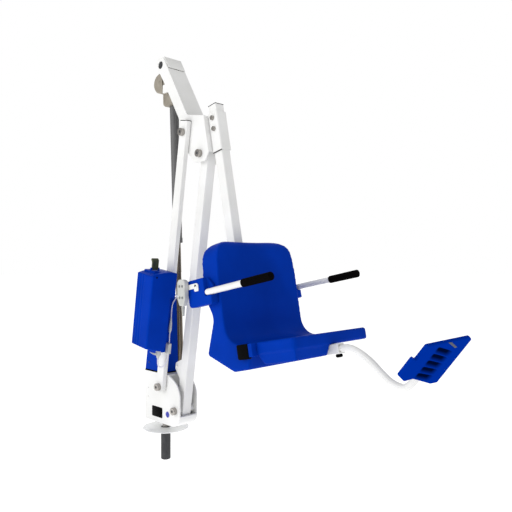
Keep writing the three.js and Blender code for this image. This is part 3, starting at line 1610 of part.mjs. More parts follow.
piece(seat, 'handset_hook', handsetHook(), finish(whitePaint, 0.4));
piece(handset, 'handset', handsetBody(), finish('#c8c9c6', 0.5));
['up_left', 'up_right', 'down_left', 'down_right'].forEach((label, i) => {
  piece(handset, `button_${label}`, handsetButton(buttonPlaces[i]), finish('#6d6f70', 0.6));
});

export default lift;
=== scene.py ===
# Pool patient lift: finishes, moulded forms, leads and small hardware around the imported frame
import json
from math import asin, atan2, cos, hypot, pi, radians, sin

import bmesh
import bpy
from mathutils import Matrix, Vector


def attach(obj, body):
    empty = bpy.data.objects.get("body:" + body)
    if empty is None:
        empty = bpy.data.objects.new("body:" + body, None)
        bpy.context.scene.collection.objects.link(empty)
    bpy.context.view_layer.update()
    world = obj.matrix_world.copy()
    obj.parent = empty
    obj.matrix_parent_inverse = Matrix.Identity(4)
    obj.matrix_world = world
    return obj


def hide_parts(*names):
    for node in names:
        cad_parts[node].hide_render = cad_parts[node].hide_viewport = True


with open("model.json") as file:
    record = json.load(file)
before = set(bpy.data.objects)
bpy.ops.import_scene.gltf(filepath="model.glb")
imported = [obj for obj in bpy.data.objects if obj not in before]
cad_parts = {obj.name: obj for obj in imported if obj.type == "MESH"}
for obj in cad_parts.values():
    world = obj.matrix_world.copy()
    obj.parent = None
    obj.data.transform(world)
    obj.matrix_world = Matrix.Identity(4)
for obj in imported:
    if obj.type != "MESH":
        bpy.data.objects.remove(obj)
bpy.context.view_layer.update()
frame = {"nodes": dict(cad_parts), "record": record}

MM = 0.001
RECORD = frame["record"]
BODY_OF = {node: body for body, nodes in RECORD["behaviour"]["bodies"].items() for node in nodes}
SLOT_OF = {part["node"]: part["material_slot"] for part in RECORD["subparts"]}

# Camera of the photograph: a level view from the front of the near side
PHOTO_SIDE = 512
PHOTO_FOCAL = 587
PHOTO_HORIZON = 259
SENSOR = 36
CAMERA_PLACE = (2.3975, -1.7589, 0.841)
CAMERA_TURN = radians(45)

# Places of the frame's pivots at rest, in millimetres, and the lean of its members
ARM_LEAN = radians(8.78)
ARM_LENGTH = 1219.2
ARM_PIVOT = (145, 116)
LINK_PIVOT = (54, 222)
UPPER_PIVOT = (ARM_PIVOT[0] + ARM_LENGTH * sin(ARM_LEAN), ARM_PIVOT[1] + ARM_LENGTH * cos(ARM_LEAN))
EAR_PIN = (UPPER_PIVOT[0] - 301, UPPER_PIVOT[1] + 471)
SEAT_PLACE = (847, 529)
SEAT_TILT = radians(11.5)
CLEVIS = (-54, 201)
RAM_OFFSET = 31
FOOTPLATE_PLACE = (1529, 581)
FOOTPLATE_LEAN = radians(128)
HANDSET_PLACE = (503, -284, 704)
HANDSET_TILT = radians(2)


def ram_lean():
    """The ram's lean, from the ear's pin and the clevis pin on the arm."""
    x = ARM_PIVOT[0] + CLEVIS[0] * cos(ARM_LEAN) + CLEVIS[1] * sin(ARM_LEAN) - EAR_PIN[0]
    z = EAR_PIN[1] - ARM_PIVOT[1] + CLEVIS[0] * sin(ARM_LEAN) - CLEVIS[1] * cos(ARM_LEAN)
    return atan2(x, z) - asin(RAM_OFFSET / hypot(x, z))


def place(x, z, lean=0.0, y=0.0):
    """A member's own frame in millimetres, as a matrix into the scene's metres."""
    return Matrix.Translation(Vector((x, y, z)) * MM) @ Matrix.Rotation(lean, 4, "Y") @ Matrix.Scale(MM, 4)


def from_head(x, z):
    """A place in the side view, seen from the head's own frame."""
    return x - UPPER_PIVOT[0], z - UPPER_PIVOT[1]


# Frames of the members, two of them turned a quarter so that their X runs across the lift
QUARTER_TURN = Matrix.Rotation(pi / 2, 4, "Z")
BASE = place(0, 0)
LINK = place(*LINK_PIVOT, ARM_LEAN)
LINK_ACROSS = LINK @ QUARTER_TURN
HEAD = place(*UPPER_PIVOT)
RAM = place(*EAR_PIN, -ram_lean())
SEAT = place(*SEAT_PLACE, -SEAT_TILT)
FOOT = place(*FOOTPLATE_PLACE, FOOTPLATE_LEAN) @ QUARTER_TURN
HANDSET = place(HANDSET_PLACE[0], HANDSET_PLACE[2], -HANDSET_TILT, HANDSET_PLACE[1])


# Node helpers for the finishes

def linear(hex_colour):
    """An sRGB hex colour as linear red, green, blue and alpha."""
    values = [int(hex_colour[i:i + 2], 16) / 255 for i in (1, 3, 5)]
    return [v / 12.92 if v <= 0.04045 else ((v + 0.055) / 1.055) ** 2.4 for v in values] + [1]


def add(tree, kind, settings=(), **inputs):
    """One node with its settings, and its inputs as values or as sockets to link from."""
    # An input named _3 is the one at index 3
    node = tree.nodes.new("ShaderNode" + kind)
    for name, value in dict(settings).items():
        setattr(node, name, value)
    for name, value in inputs.items():
        socket = node.inputs[int(name[1:])] if name[0] == "_" else node.inputs[name.replace("_", " ")]
        if isinstance(value, bpy.types.NodeSocket):
            tree.links.new(value, socket)
        else:
            socket.default_value = value
    return node


def new_finish(name, colour, roughness, metallic=0.0, **sockets):
    """A material whose uniform values sit on the shader's own sockets."""
    material = bpy.data.materials.new(name)
    material.use_nodes = True
    material.diffuse_color = linear(colour)
    shader = material.node_tree.nodes["Principled BSDF"]
    values = {"Base Color": linear(colour), "Roughness": roughness, "Metallic": metallic}
    for socket, value in {**values, **sockets}.items():
        shader.inputs[socket.replace("_", " ")].default_value = value
    return material, material.node_tree, shader


def tint(tree, shader, noise, dark, light, low=0.35, high=0.65):
    """A slow change of colour between two hex values, from a noise's factor."""
    ramp = add(tree, "ValToRGB", Fac=noise)
    ramp.color_ramp.elements[0].position = low
    ramp.color_ramp.elements[0].color = linear(dark)
    ramp.color_ramp.elements[1].position = high
    ramp.color_ramp.elements[1].color = linear(light)
    tree.links.new(ramp.outputs["Color"], shader.inputs["Base Color"])


def relief(tree, shader, height, strength, depth_mm):
    """Fine relief on the surface, its depth in millimetres."""
    bump = add(tree, "Bump", Strength=strength, Distance=depth_mm * MM, Height=height)
    tree.links.new(bump.outputs["Normal"], shader.inputs["Normal"])


def gloss(tree, shader, noise, low, high):
    """Roughness that wanders between two values, as handling and weather leave it."""
    span = add(tree, "MapRange", _0=noise, _3=low, _4=high)
    tree.links.new(span.outputs["Result"], shader.inputs["Roughness"])


def grain(tree, size_mm, detail=2.0, stretch=(1, 1, 1)):
    """Noise on object coordinates, its grain size in millimetres."""
    coordinates = add(tree, "TexCoord")
    mapping = add(tree, "Mapping", Vector=coordinates.outputs["Object"], Scale=stretch)
    noise = add(tree, "TexNoise", Vector=mapping.outputs["Vector"], Scale=1 / (size_mm * MM), Detail=detail)
    return noise.outputs["Fac"]


# Finishes, each named for the real one

def powder_coat():
    """White polyester powder on stainless tube: satin, with the faint orange peel of a baked coat."""
    material, tree, shader = new_finish("white_powder_coat", "#e4e4e3", 0.4, Specular_IOR_Level=0.4)
    tint(tree, shader, grain(tree, 140, 1), "#e1e1df", "#e8e8e7")
    gloss(tree, shader, grain(tree, 30), 0.34, 0.46)
    # Real peel is near 1 mm across, drawn at 3 mm so that it shows
    relief(tree, shader, grain(tree, 3), 0.12, 0.1)
    return material


def polished_stainless():
    """Stainless bar turned and polished: mirror-like, with rings too fine to count."""
    material, tree, shader = new_finish("polished_stainless", "#a39f9a", 0.2, 1.0)
    gloss(tree, shader, grain(tree, 6, 3), 0.14, 0.28)
    relief(tree, shader, grain(tree, 0.8, 1, (1, 30, 1)), 0.08, 0.02)
    return material


def dark_passivated():
    """Steel left dark after passivating: dull grey, mottled by handling."""
    material, tree, shader = new_finish("dark_passivated_steel", "#3b3c3e", 0.5, 0.6)
    tint(tree, shader, grain(tree, 30, 2), "#38393b", "#404143")
    gloss(tree, shader, grain(tree, 12, 2), 0.46, 0.56)
    relief(tree, shader, grain(tree, 1.2, 2), 0.08, 0.03)
    return material


def rotomoulded_blue():
    """Blue polyethylene from a rotating mould: soft gloss over a fine pebble, and slow shifts of shade."""
    material, tree, shader = new_finish("rotomoulded_blue", "#0030a0", 0.42, Specular_IOR_Level=0.015)
    tint(tree, shader, grain(tree, 180, 2), "#002f98", "#0034a6")
    gloss(tree, shader, grain(tree, 45, 2), 0.36, 0.48)
    # Mould pebble is under 1 mm, drawn at 2.2 mm so that it shows
    relief(tree, shader, grain(tree, 2.2, 2), 0.16, 0.12)
    return material


def blue_with_painted_tread_shade():
    """The same blue on the footplate, worn dull by feet, with painted shade that darkens it down in the
    treads.
    """
    material, tree, shader = new_finish("blue_with_painted_tread_shade", "#002c96", 0.42, Specular_IOR_Level=0.0)
    painted_shade_share = add(tree, "Attribute", {"attribute_name": "scoop"}).outputs["Fac"]
    # Painted shade: the blue turns near black where the treads are deepest
    tint(tree, shader, painted_shade_share, "#002c96", "#000a30", 0.05, 0.9)
    gloss(tree, shader, grain(tree, 45, 2), 0.36, 0.48)
    relief(tree, shader, grain(tree, 2.2, 2), 0.16, 0.12)
    return material


def black_nylon():
    """Glass-filled nylon: near black with a dry, slightly mottled skin."""
    material, tree, shader = new_finish("black_nylon", "#060607", 0.5, Specular_IOR_Level=0.02)
    tint(tree, shader, grain(tree, 4, 3), "#040405", "#09090b")
    relief(tree, shader, grain(tree, 1, 2), 0.2, 0.06)
    return material


def olive_handle():
    """Olive drab polypropylene of the battery's bail."""
    material, tree, shader = new_finish("olive_polypropylene", "#2c3208", 0.45)
    tint(tree, shader, grain(tree, 20, 2), "#23290a", "#363d0c")
    relief(tree, shader, grain(tree, 1.2, 2), 0.15, 0.05)
    return material


def grip_foam():
    """Closed-cell foam sleeve: black, matt and softly pitted."""
    material, tree, shader = new_finish("black_cell_foam", "#050404", 0.9, Specular_IOR_Level=0.02)
    cells = add(tree, "TexVoronoi", Vector=add(tree, "TexCoord").outputs["Object"], Scale=1 / (2.4 * MM))
    tint(tree, shader, cells.outputs["Distance"], "#030202", "#0b0909", 0.1, 0.7)
    relief(tree, shader, cells.outputs["Distance"], 0.5, 0.35)
    return material


def grey_abs():
    """Light grey moulded ABS with a fine spark-eroded grain."""
    material, tree, shader = new_finish("light_grey_abs", "#b9bbb8", 0.45)
    tint(tree, shader, grain(tree, 25, 2), "#b3b5b2", "#bfc0bd")
    relief(tree, shader, grain(tree, 1, 2), 0.14, 0.05)
    return material


def silicone_grey():
    """Grey silicone keys: matt and slightly dusty."""
    material, tree, shader = new_finish("grey_silicone", "#747777", 0.7)
    tint(tree, shader, grain(tree, 5, 2), "#6c6f6f", "#7d8080")
    relief(tree, shader, grain(tree, 0.7, 2), 0.1, 0.03)
    return material


def vinyl_sheath():
    """Pale grey vinyl jacket of the leads, faintly violet, with a soft sheen."""
    material, tree, shader = new_finish("pale_vinyl_sheath", "#cfcedb", 0.4)
    tint(tree, shader, grain(tree, 30, 1), "#c9c8d6", "#d6d5e0")
    relief(tree, shader, grain(tree, 1.5, 1), 0.08, 0.04)
    return material


def taupe_casting():
    """Die-cast gearbox and motor in taupe paint, with the casting's skin under it."""
    material, tree, shader = new_finish("taupe_painted_casting", "#8f887c", 0.5, Specular_IOR_Level=0.3)
    tint(tree, shader, grain(tree, 35, 3), "#898276", "#958e82")
    relief(tree, shader, grain(tree, 1.6, 3), 0.22, 0.1)
    return material


def grey_anodised():
    """Grey anodised tube: even and matt, drawn along its length."""
    material, tree, shader = new_finish("grey_anodised_tube", "#626262", 0.5, 0.3, Specular_IOR_Level=0.3)
    tint(tree, shader, grain(tree, 8, 2, (1, 1, 0.04)), "#5e5e5e", "#686868")
    relief(tree, shader, grain(tree, 1, 1, (1, 1, 0.02)), 0.1, 0.03)
    return material


def ground_rod():
    """Ground stainless rod: warm grey mirror with rings left by the wheel."""
    material, tree, shader = new_finish("ground_stainless_rod", "#6f665a", 0.2, 1.0)
    gloss(tree, shader, grain(tree, 1.5, 2, (0.05, 0.05, 1)), 0.14, 0.3)
    relief(tree, shader, grain(tree, 1, 1, (0.02, 0.02, 1)), 0.08, 0.02)
    return material


def blank_plate(name, colour, shine=0.3):
    """A bare printed plate: smooth film, with the faint ripple of its glue."""
    material, tree, shader = new_finish(name, colour, 0.25, Specular_IOR_Level=shine)
    gloss(tree, shader, grain(tree, 12, 2), 0.2, 0.34)
    relief(tree, shader, grain(tree, 8, 1), 0.05, 0.04)
    return material


def frosted_acrylic():
    """Frosted white acrylic of the cover disc: a little light goes through, under a soft gloss."""
    material, tree, shader = new_finish("frosted_acrylic", "#fafbfb", 0.2, Alpha=0.86)
    gloss(tree, shader, grain(tree, 40, 1), 0.16, 0.26)
    relief(tree, shader, grain(tree, 20, 1), 0.04, 0.05)
    return material


FINISHES = {
    "white_frame": powder_coat(),
    "polished_steel": polished_stainless(),
    "dark_steel": dark_passivated(),
    "blue_plastic": rotomoulded_blue(),
    "black_plastic": black_nylon(),
    "grey_plastic": grey_abs(),
    "button_rubber": silicone_grey(),
    "grip_foam": grip_foam(),
    "lead_sheath": vinyl_sheath(),
    "actuator_casing": taupe_casting(),
    "actuator_tube": grey_anodised(),
    "ram_steel": ground_rod(),
}
OLIVE = olive_handle()
BLACK_PLATE = blank_plate("black_plate_film", "#020203", 0.03)
BLUE_PLATE = blank_plate("blue_plate_film", "#2a35a0")
PALE_PLATE = blank_plate("pale_plate_film", "#cfc9d6")
SLOT_GREY = blank_plate("grey_slot_cover", "#3d4253", 0.02)
TREAD_SHADED_BLUE = blue_with_painted_tread_shade()
FROSTED = frosted_acrylic()


# Piece helpers

SIDES = ((-1, "near"), (1, "far"))
# Directions of what faces the near side
ACROSS = dict(axis=(0, -1, 0), side=(1, 0, 0))
# Room between two turned pieces that fit together, in millimetres
FIT_GAP = 0.3
# Vertices nearer than this are one: in metres on the frame's solids, in millimetres on a spun profile
SOLID_MERGE = 2e-6
SPIN_MERGE = 1e-4
# Faces that turn less than this are one, and edges that turn more than these are eased
FLAT_ANGLE = radians(0.8)
CORNER_ANGLE = radians(30)
PLATE_RIM_ANGLE = radians(50)
PLATE_CORNER_STEPS = 8
# Edges sharper than this stay creased in the shading, in degrees
PLAIN_CREASE = 32
MACHINED_CREASE = 36
MOULDED_CREASE = 75
SMOOTHING_SHARE = 0.5
# Shares of a stud's radius and height, from the crown of its head down to its foot
STUD_PROFILE = ((0, 1), (0.55, 0.92), (0.88, 0.6), (1, 0), (0, 0))
STUD_STEPS = 28


def linked(name, data):
    """A new object in the scene that holds the data."""
    piece = bpy.data.objects.new(name, data)
    bpy.context.scene.collection.objects.link(piece)
    return piece


def settle(shape, name, body, slot, nodes=(), matrix=None, sharp=PLAIN_CREASE, finish=None, recalc=True):
    """Turns a bmesh into a shaded piece that rides on its body and takes a slot's finish."""
    if matrix is not None:
        bmesh.ops.transform(shape, matrix=matrix, verts=shape.verts)
    if recalc:
        bmesh.ops.recalc_face_normals(shape, faces=shape.faces)
    mesh = bpy.data.meshes.new(name)
    shape.to_mesh(mesh)
    shape.free()
    mesh.shade_smooth()
    mesh.set_sharp_from_angle(angle=radians(sharp))
    mesh.materials.append(finish or FINISHES[slot])
    piece = linked(name, mesh)
    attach(piece, body)
    if nodes:
        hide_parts(*nodes)
    return piece


def merged_copy(node):
    """The node's own solid as one merged bmesh, its flat faces whole."""
    shape = bmesh.new()
    shape.from_mesh(frame["nodes"][node].data)
    bmesh.ops.remove_doubles(shape, verts=shape.verts, dist=SOLID_MERGE)
    bmesh.ops.dissolve_limit(shape, angle_limit=FLAT_ANGLE, verts=shape.verts, edges=shape.edges)
    return shape


def eased(node, edge_mm, steps=2, finish=None, shape=None):
    """A metal or moulded piece with every corner eased as a file or a mould leaves it."""
    shape = shape or merged_copy(node)
    edges = [e for e in shape.edges if e.is_manifold and e.calc_face_angle(0) > CORNER_ANGLE]
    bmesh.ops.bevel(
        shape, geom=edges, offset=edge_mm * MM, segments=steps, profile=0.5, affect="EDGES",
        clamp_overlap=True, material=-1, loop_slide=True,
    )
    piece = settle(
        shape, f"{node}_eased", BODY_OF[node], SLOT_OF[node], [node], sharp=MACHINED_CREASE, finish=finish,
        recalc=False,
    )
    shading = piece.modifiers.new("even_shading", "WEIGHTED_NORMAL")
    shading.keep_sharp = True
    return piece


def moulded(node, voxel_mm, passes, finish=None, recess=None):
    """A moulding with the soft edges that the tool's radii and the shrinking plastic leave."""
    shape = merged_copy(node)
    mesh = bpy.data.meshes.new(f"{node}_raw")
    shape.to_mesh(mesh)
    shape.free()
    raw = linked(f"{node}_raw", mesh)
    if recess:
        notch = raw.modifiers.new("recess", "BOOLEAN")
        notch.object = recess
        notch.solver = "EXACT"
    skin = raw.modifiers.new("skin", "REMESH")
    skin.mode = "VOXEL"
    skin.voxel_size = voxel_mm * MM
    soft = raw.modifiers.new("soft", "SMOOTH")
    soft.factor = SMOOTHING_SHARE
    soft.iterations = passes
    made = bpy.data.meshes.new_from_object(raw.evaluated_get(bpy.context.evaluated_depsgraph_get()))
    bpy.data.objects.remove(raw)
    bpy.data.meshes.remove(mesh)
    if recess:
        bpy.data.meshes.remove(recess.data)
    shape = bmesh.new()
    shape.from_mesh(made)
    bpy.data.meshes.remove(made)
    return settle(
        shape, f"{node}_moulding", BODY_OF[node], SLOT_OF[node], [node], sharp=MOULDED_CREASE,
        finish=finish,
    )


def turned(profile, steps, axis=(0, 0, 1), centre=(0, 0, 0), side=(1, 0, 0)):
    """A profile of radius and height spun about an axis, closed where it meets the axis."""
    shape = bmesh.new()
    axis, centre, side = Vector(axis), Vector(centre), Vector(side)
    points = [shape.verts.new(centre + side * r + axis * h) for r, h in profile]
    edges = [shape.edges.new(pair) for pair in zip(points, points[1:])]
    bmesh.ops.spin(
        shape, geom=points + edges, cent=centre, axis=axis, angle=2 * pi, steps=steps, use_merge=True,
    )
    bmesh.ops.remove_doubles(shape, verts=shape.verts, dist=SPIN_MERGE)
    return shape


def thicken(shape, step):
    """Gives a flat face its thickness, by one step."""
    made = bmesh.ops.extrude_face_region(shape, geom=shape.faces[:])
    moved = [g for g in made["geom"] if isinstance(g, bmesh.types.BMVert)]
    bmesh.ops.translate(shape, verts=moved, vec=step)


def oblong(x0, z0, x1, z1, radii=(0, 0, 0, 0)):
    """Corners of an oblong, round from its low x and low z, each with its radius."""
    return [(x0, z0, radii[0]), (x1, z0, radii[1]), (x1, z1, radii[2]), (x0, z1, radii[3])]


def plate(corners, y0, y1, edge):
    """A flat plate from corners (x, z, radius), its depth along Y and its rims eased by an edge."""
    shape = bmesh.new()
    rim = [shape.verts.new((x, y0, z)) for x, z, _ in corners]
    shape.faces.new(rim)
    for vert, (_, _, radius) in zip(rim, corners):
        if radius:
            bmesh.ops.bevel(
                shape, geom=[vert], offset=radius, segments=PLATE_CORNER_STEPS, profile=0.5,
                affect="VERTICES", material=-1,
            )
    thicken(shape, (0, y1 - y0, 0))
    rims = [e for e in shape.edges if e.is_manifold and e.calc_face_angle(0) > PLATE_RIM_ANGLE]
    if edge:
        bmesh.ops.bevel(
            shape, geom=rims, offset=edge, segments=2, profile=0.5, affect="EDGES", clamp_overlap=True,
            material=-1,
        )
    return shape


def stud(name, body, matrix, place_mm, axis, side, radius, height, slot="polished_steel"):
    """A low domed head standing on its plate."""
    profile = [(radius * out, height * up) for out, up in STUD_PROFILE]
    shape = turned(profile, STUD_STEPS, axis=axis, centre=place_mm, side=side)
    return settle(shape, name, body, slot, (), matrix)


def arc(centre, radius, start, end, count):
    """Points of an arc, as pairs, from one angle to another."""
    angles = [start + (end - start) * i / count for i in range(count + 1)]
    return [(centre[0] + radius * cos(a), centre[1] + radius * sin(a)) for a in angles]


# Camera

def photo_camera():
    """The camera at the photograph's place, its horizon shifted instead of tilted."""
    data = bpy.data.cameras.new("photo_camera")
    data.sensor_width = SENSOR
    data.lens = PHOTO_FOCAL / PHOTO_SIDE * SENSOR
    data.shift_y = (PHOTO_HORIZON - PHOTO_SIDE / 2) / PHOTO_SIDE
    camera = linked("photo_camera", data)
    camera.location = CAMERA_PLACE
    camera.rotation_euler = (pi / 2, 0, CAMERA_TURN)
    bpy.context.scene.camera = camera


photo_camera()


# Leads on the narrow arm: the routes of the cords, in millimetres in the arm's frame

LEAD_DIAMETER = 6
GLAND_FACE = -78
BOX_LEAD = [
    (54, GLAND_FACE + 0.3, 463), (54, GLAND_FACE + 8, 463), (49, -62, 456), (37, -62, 438), (31, -68, 420),
    (31, -71, 400), (32, -72, 376), (34, -72, 350),
]
CONNECTOR_TAIL = [(34, -72, 275), (34, -72, 262), (37, -73, 246), (39, -74, 234), (39, -74, 226)]
PLUG_LOOP = [
    (20, -118, 153), (20, -117, 140), (17, -110, 118), (17, -98, 106), (25, -91, 108), (37, -81, 128),
    (38, -73, 152), (38, -73, 166), (38, -73, 175),
]
CONNECTOR_PLACE = (34, -72)
CONNECTOR_TOP = 349.7
CONNECTOR_BOTTOM = 275.3
CONNECTOR_LENGTH = CONNECTOR_TOP - CONNECTOR_BOTTOM
# Radius and height, from below: a taper, the barrel, a ring and a collar between grooves, and a taper
CONNECTOR_PROFILE = [
    (0, 0), (3.4, 0), (4.6, 3), (6.6, 12), (7.3, 15), (7.3, 29), (6.6, 30), (6.6, 31.5), (7.3, 32.5),
    (7.3, 37), (6.5, 38), (6.5, 40), (7, 41), (7, 46), (6.2, 50), (5, 60), (4.2, 70),
    (3.4, CONNECTOR_LENGTH), (0, CONNECTOR_LENGTH),
]


def lead_curve(name, points):
    """A round lead along one open spline through its route's points."""
    curve = bpy.data.curves.new(name, "CURVE")
    curve.dimensions = "3D"
    curve.bevel_depth = LEAD_DIAMETER * MM / 2
    curve.bevel_resolution = 5
    curve.resolution_u = 10
    curve.use_fill_caps = True
    spline = curve.splines.new("BEZIER")
    spline.bezier_points.add(len(points) - 1)
    for knot, point in zip(spline.bezier_points, points):
        knot.co = LINK @ Vector(point)
        knot.handle_left_type = knot.handle_right_type = "AUTO"
    return linked(name, curve), spline


def lead(node, route):
    """A stretch of lead that leaves at one point of its route, with the length that its spline measures."""
    piece, spline = lead_curve(f"{node}_jacket", route)
    piece.data.materials.append(FINISHES["lead_sheath"])
    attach(piece, BODY_OF[node])
    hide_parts(node)


def leads():
    """The three stretches of lead, with the connector, the plug and its lever."""
    shell = turned(CONNECTOR_PROFILE, steps=40, centre=(*CONNECTOR_PLACE, CONNECTOR_BOTTOM))
    connector = settle(shell, "lead_connector_shell", "link", "grey_plastic", ["lead_connector"], LINK)
    plug = eased("box_plug", edge_mm=0.7)
    lever = eased("plug_lever", edge_mm=0.5)
    lead("box_lead", BOX_LEAD)
    lead("connector_tail", CONNECTOR_TAIL)
    lead("plug_loop", PLUG_LOOP)


leads()


# Seat: the mouldings and the pan's knuckles, in millimetres in the seat's frame

KNUCKLE_REAR = -64.4
KNUCKLE_FRONT = -5.8
KNUCKLE_BOTTOM = -56.8
KNUCKLE_TOP = 0.2
KNUCKLE_FACE = 252
KNUCKLE_THICKNESS = 17.6
KNUCKLE_RADII = (8, 5, 5, 5)
KNUCKLE_EDGE = 2.5
PAN_END = 218
# Outlines in the side view, from low x and low z to high x and high z
STRAP = (-24.4, -42, 12, -4)
STRAP_RADII = (2, 5, 5, 2)
STRAP_SETBACK = 6
CHEEK = (KNUCKLE_FRONT + 1, -50, 15, -0.6)
CHEEK_RADII = (2, 2, 2, 2)
CHEEK_SETBACK = 2
STRAP_EDGE = 1.5


def on_side(side, inner, outer):
    """A stretch along Y on one side of the seat, low value first."""
    return sorted((side * inner, side * outer))


def knuckle(side, name):
    """A black nylon block over the hinge rod's end, its strap into the pan, and the pan's blue cheek."""
    corners = oblong(KNUCKLE_REAR, KNUCKLE_BOTTOM, KNUCKLE_FRONT, KNUCKLE_TOP, KNUCKLE_RADII)
    block = plate(corners, *on_side(side, KNUCKLE_FACE - KNUCKLE_THICKNESS, KNUCKLE_FACE), KNUCKLE_EDGE)
    settle(block, f"pan_knuckle_{name}_block", "pan", "black_plastic", [f"pan_knuckle_{name}"], SEAT)
    span = on_side(side, PAN_END, KNUCKLE_FACE - STRAP_SETBACK)
    strap = plate(oblong(*STRAP, STRAP_RADII), *span, STRAP_EDGE)
    settle(strap, f"pan_knuckle_{name}_strap", "pan", "black_plastic", (), SEAT)
    span = on_side(side, PAN_END, KNUCKLE_FACE - CHEEK_SETBACK)
    cheek = plate(oblong(*CHEEK, CHEEK_RADII), *span, STRAP_EDGE)
    settle(cheek, f"pan_cheek_{name}", "pan", "blue_plastic", (), SEAT)


# Footplate: its treads, slot cover and side bolt, in millimetres on the plate

TREAD_COUNT = 5
TREAD_FIRST = 42
TREAD_PITCH = 28.3
TREAD_CENTRE = -18
TREAD_SLANT = radians(16)
TREAD_HALF_LENGTH = 80
# A tread's reach up and down the plate from its deepest line
TREAD_UPPER = 9
TREAD_LOWER = 17
TREAD_DEPTH = 7.5
TREAD_END_STEEPNESS = 2.2
TREAD_UPPER_STEEPNESS = 2.5
# Only what lies above this height, on the plate's upper face, is scooped
UPPER_FACE = -5
SLOT_COVER = [(-44.4, 0.3), (-20, -1.4), (58.3, -34.6), (42.5, -35.9)]
SLOT_COVER_LIFT = 0.05
SLOT_COVER_THICKNESS = 0.8
SIDE_BOLT = (105, -144, -4)
SIDE_BOLT_RADIUS = 5
SIDE_BOLT_HEIGHT = 5


def scoop(x, y, row):
    """Share of its full depth that a tread has at a place: steep at its upper edge, a long ramp below."""
    dx = x - TREAD_CENTRE
    dy = y + TREAD_FIRST + TREAD_PITCH * row
    along = dx * cos(TREAD_SLANT) + dy * -sin(TREAD_SLANT)
    across = dx * sin(TREAD_SLANT) + dy * cos(TREAD_SLANT)
    if abs(along) > TREAD_HALF_LENGTH or not -TREAD_LOWER < across < TREAD_UPPER:
        return 0
    ends = min(1, TREAD_END_STEEPNESS * (1 - abs(along) / TREAD_HALF_LENGTH))
    if across > 0:
        fall = min(1, TREAD_UPPER_STEEPNESS * (1 - across / TREAD_UPPER))
    else:
        fall = cos(pi / 2 * across / TREAD_LOWER)
    return ends * fall


def footplate():
    """The footplate with its five scooped treads, painted shade in them, a grey slot cover and a bolt end
    in its edge.
    """
    piece = moulded("footplate", voxel_mm=2, passes=3, finish=TREAD_SHADED_BLUE)
    # Each vertex keeps its tread depth in the scoop attribute, which the finish turns into painted shade
    shade = piece.data.attributes.new("scoop", "FLOAT", "POINT")
    back = FOOT.inverted()
    for vert, value in zip(piece.data.vertices, shade.data):
        x, y, z = back @ vert.co
        depth = max(scoop(x, y, row) for row in range(TREAD_COUNT)) if z > UPPER_FACE else 0
        value.value = depth
        vert.co = FOOT @ Vector((x, y, min(z, -TREAD_DEPTH * depth)))
    cover = bmesh.new()
    cover.faces.new([cover.verts.new((x, y, SLOT_COVER_LIFT)) for x, y in SLOT_COVER])
    thicken(cover, (0, 0, SLOT_COVER_THICKNESS))
    settle(cover, "footplate_slot_cover", "footrest", "grey_plastic", (), FOOT, finish=SLOT_GREY)
    stud(
        "footplate_side_bolt", "footrest", FOOT, SIDE_BOLT, axis=Vector((1, -1, 0)).normalized(),
        side=(0, 0, 1), radius=SIDE_BOLT_RADIUS, height=SIDE_BOLT_HEIGHT,
    )


# Armrests, in millimetres in the seat's frame

ARMREST_HEIGHT = 222
ARMREST_SIDE = 260
ARMREST_PIVOT = 174
ARMREST_REACH = 172
ARMREST_LENGTH = ARMREST_PIVOT + ARMREST_REACH
ARMREST_RADIUS = 12.7
ARMREST_WALL = 2.6
ARMREST_CHAMFER = 1
GRIP_RADIUS = 16
GRIP_LENGTH = 148
GRIP_CAP = 5
GRIP_LIP = 2
GRIP_DOME = 4
ALONG_SEAT = dict(axis=(1, 0, 0), side=(0, 0, 1))


def armrest_profile():
    """The tube's domed end, its wall, and its bore as deep as the grip."""
    inner = ARMREST_RADIUS - ARMREST_WALL
    floor = ARMREST_LENGTH - GRIP_LENGTH
    dome = arc((0, 0), ARMREST_RADIUS, -pi / 2, 0, count=8)
    rim = [
        (ARMREST_RADIUS, ARMREST_LENGTH - ARMREST_CHAMFER),
        (ARMREST_RADIUS - ARMREST_CHAMFER, ARMREST_LENGTH),
    ]
    return dome + rim + [(inner, ARMREST_LENGTH), (inner, floor), (0, floor)]


def grip_profile():
    """The foam's bore over the tube, its rounded lip and its closed, domed end."""
    start = ARMREST_LENGTH - GRIP_LENGTH + GRIP_CAP
    bore = ARMREST_RADIUS + FIT_GAP
    end = ARMREST_LENGTH + GRIP_CAP
    profile = [(0, ARMREST_LENGTH + FIT_GAP), (bore, ARMREST_LENGTH + FIT_GAP), (bore, start)]
    profile += arc((GRIP_RADIUS - GRIP_LIP, start + GRIP_LIP), GRIP_LIP, -pi / 2, 0, count=4)
    profile += arc((GRIP_RADIUS - GRIP_DOME, end - GRIP_DOME), GRIP_DOME, 0, pi / 2, count=6)
    return profile + [(0, end + FIT_GAP)]


def armrest(side, name):
    """A domed tube with its foam grip, along the seat's length."""
    centre = (-ARMREST_PIVOT, side * ARMREST_SIDE, ARMREST_HEIGHT)
    body = f"{name}_armrest"
    tube = turned(armrest_profile(), steps=48, centre=centre, **ALONG_SEAT)
    settle(tube, f"armrest_{name}_tube", body, "white_frame", [f"armrest_{name}"], SEAT)
    foam = turned(grip_profile(), steps=48, centre=centre, **ALONG_SEAT)
    settle(foam, f"grip_{name}_foam", body, "grip_foam", [f"grip_{name}"], SEAT)


# Footrest: its tube, receiver and clamp knob, in millimetres in the seat's frame

KNOB_PLACE = (215, 0, -84.6)
KNOB_LOBES = 6
# Radius and height, from the knob's lower face to its neck
KNOB_PROFILE = [(0, -13), (9, -13), (12, -11.5), (13.6, -8), (13.6, -4), (11, -1), (4.5, -0.3), (0, -0.3)]
FLUTE_START = 6
FLUTE_DEPTH_SHARE = 0.09
PEG_END = (221, 37, -74.8)
PEG_RADIUS = 6
PEG_HEIGHT = 4


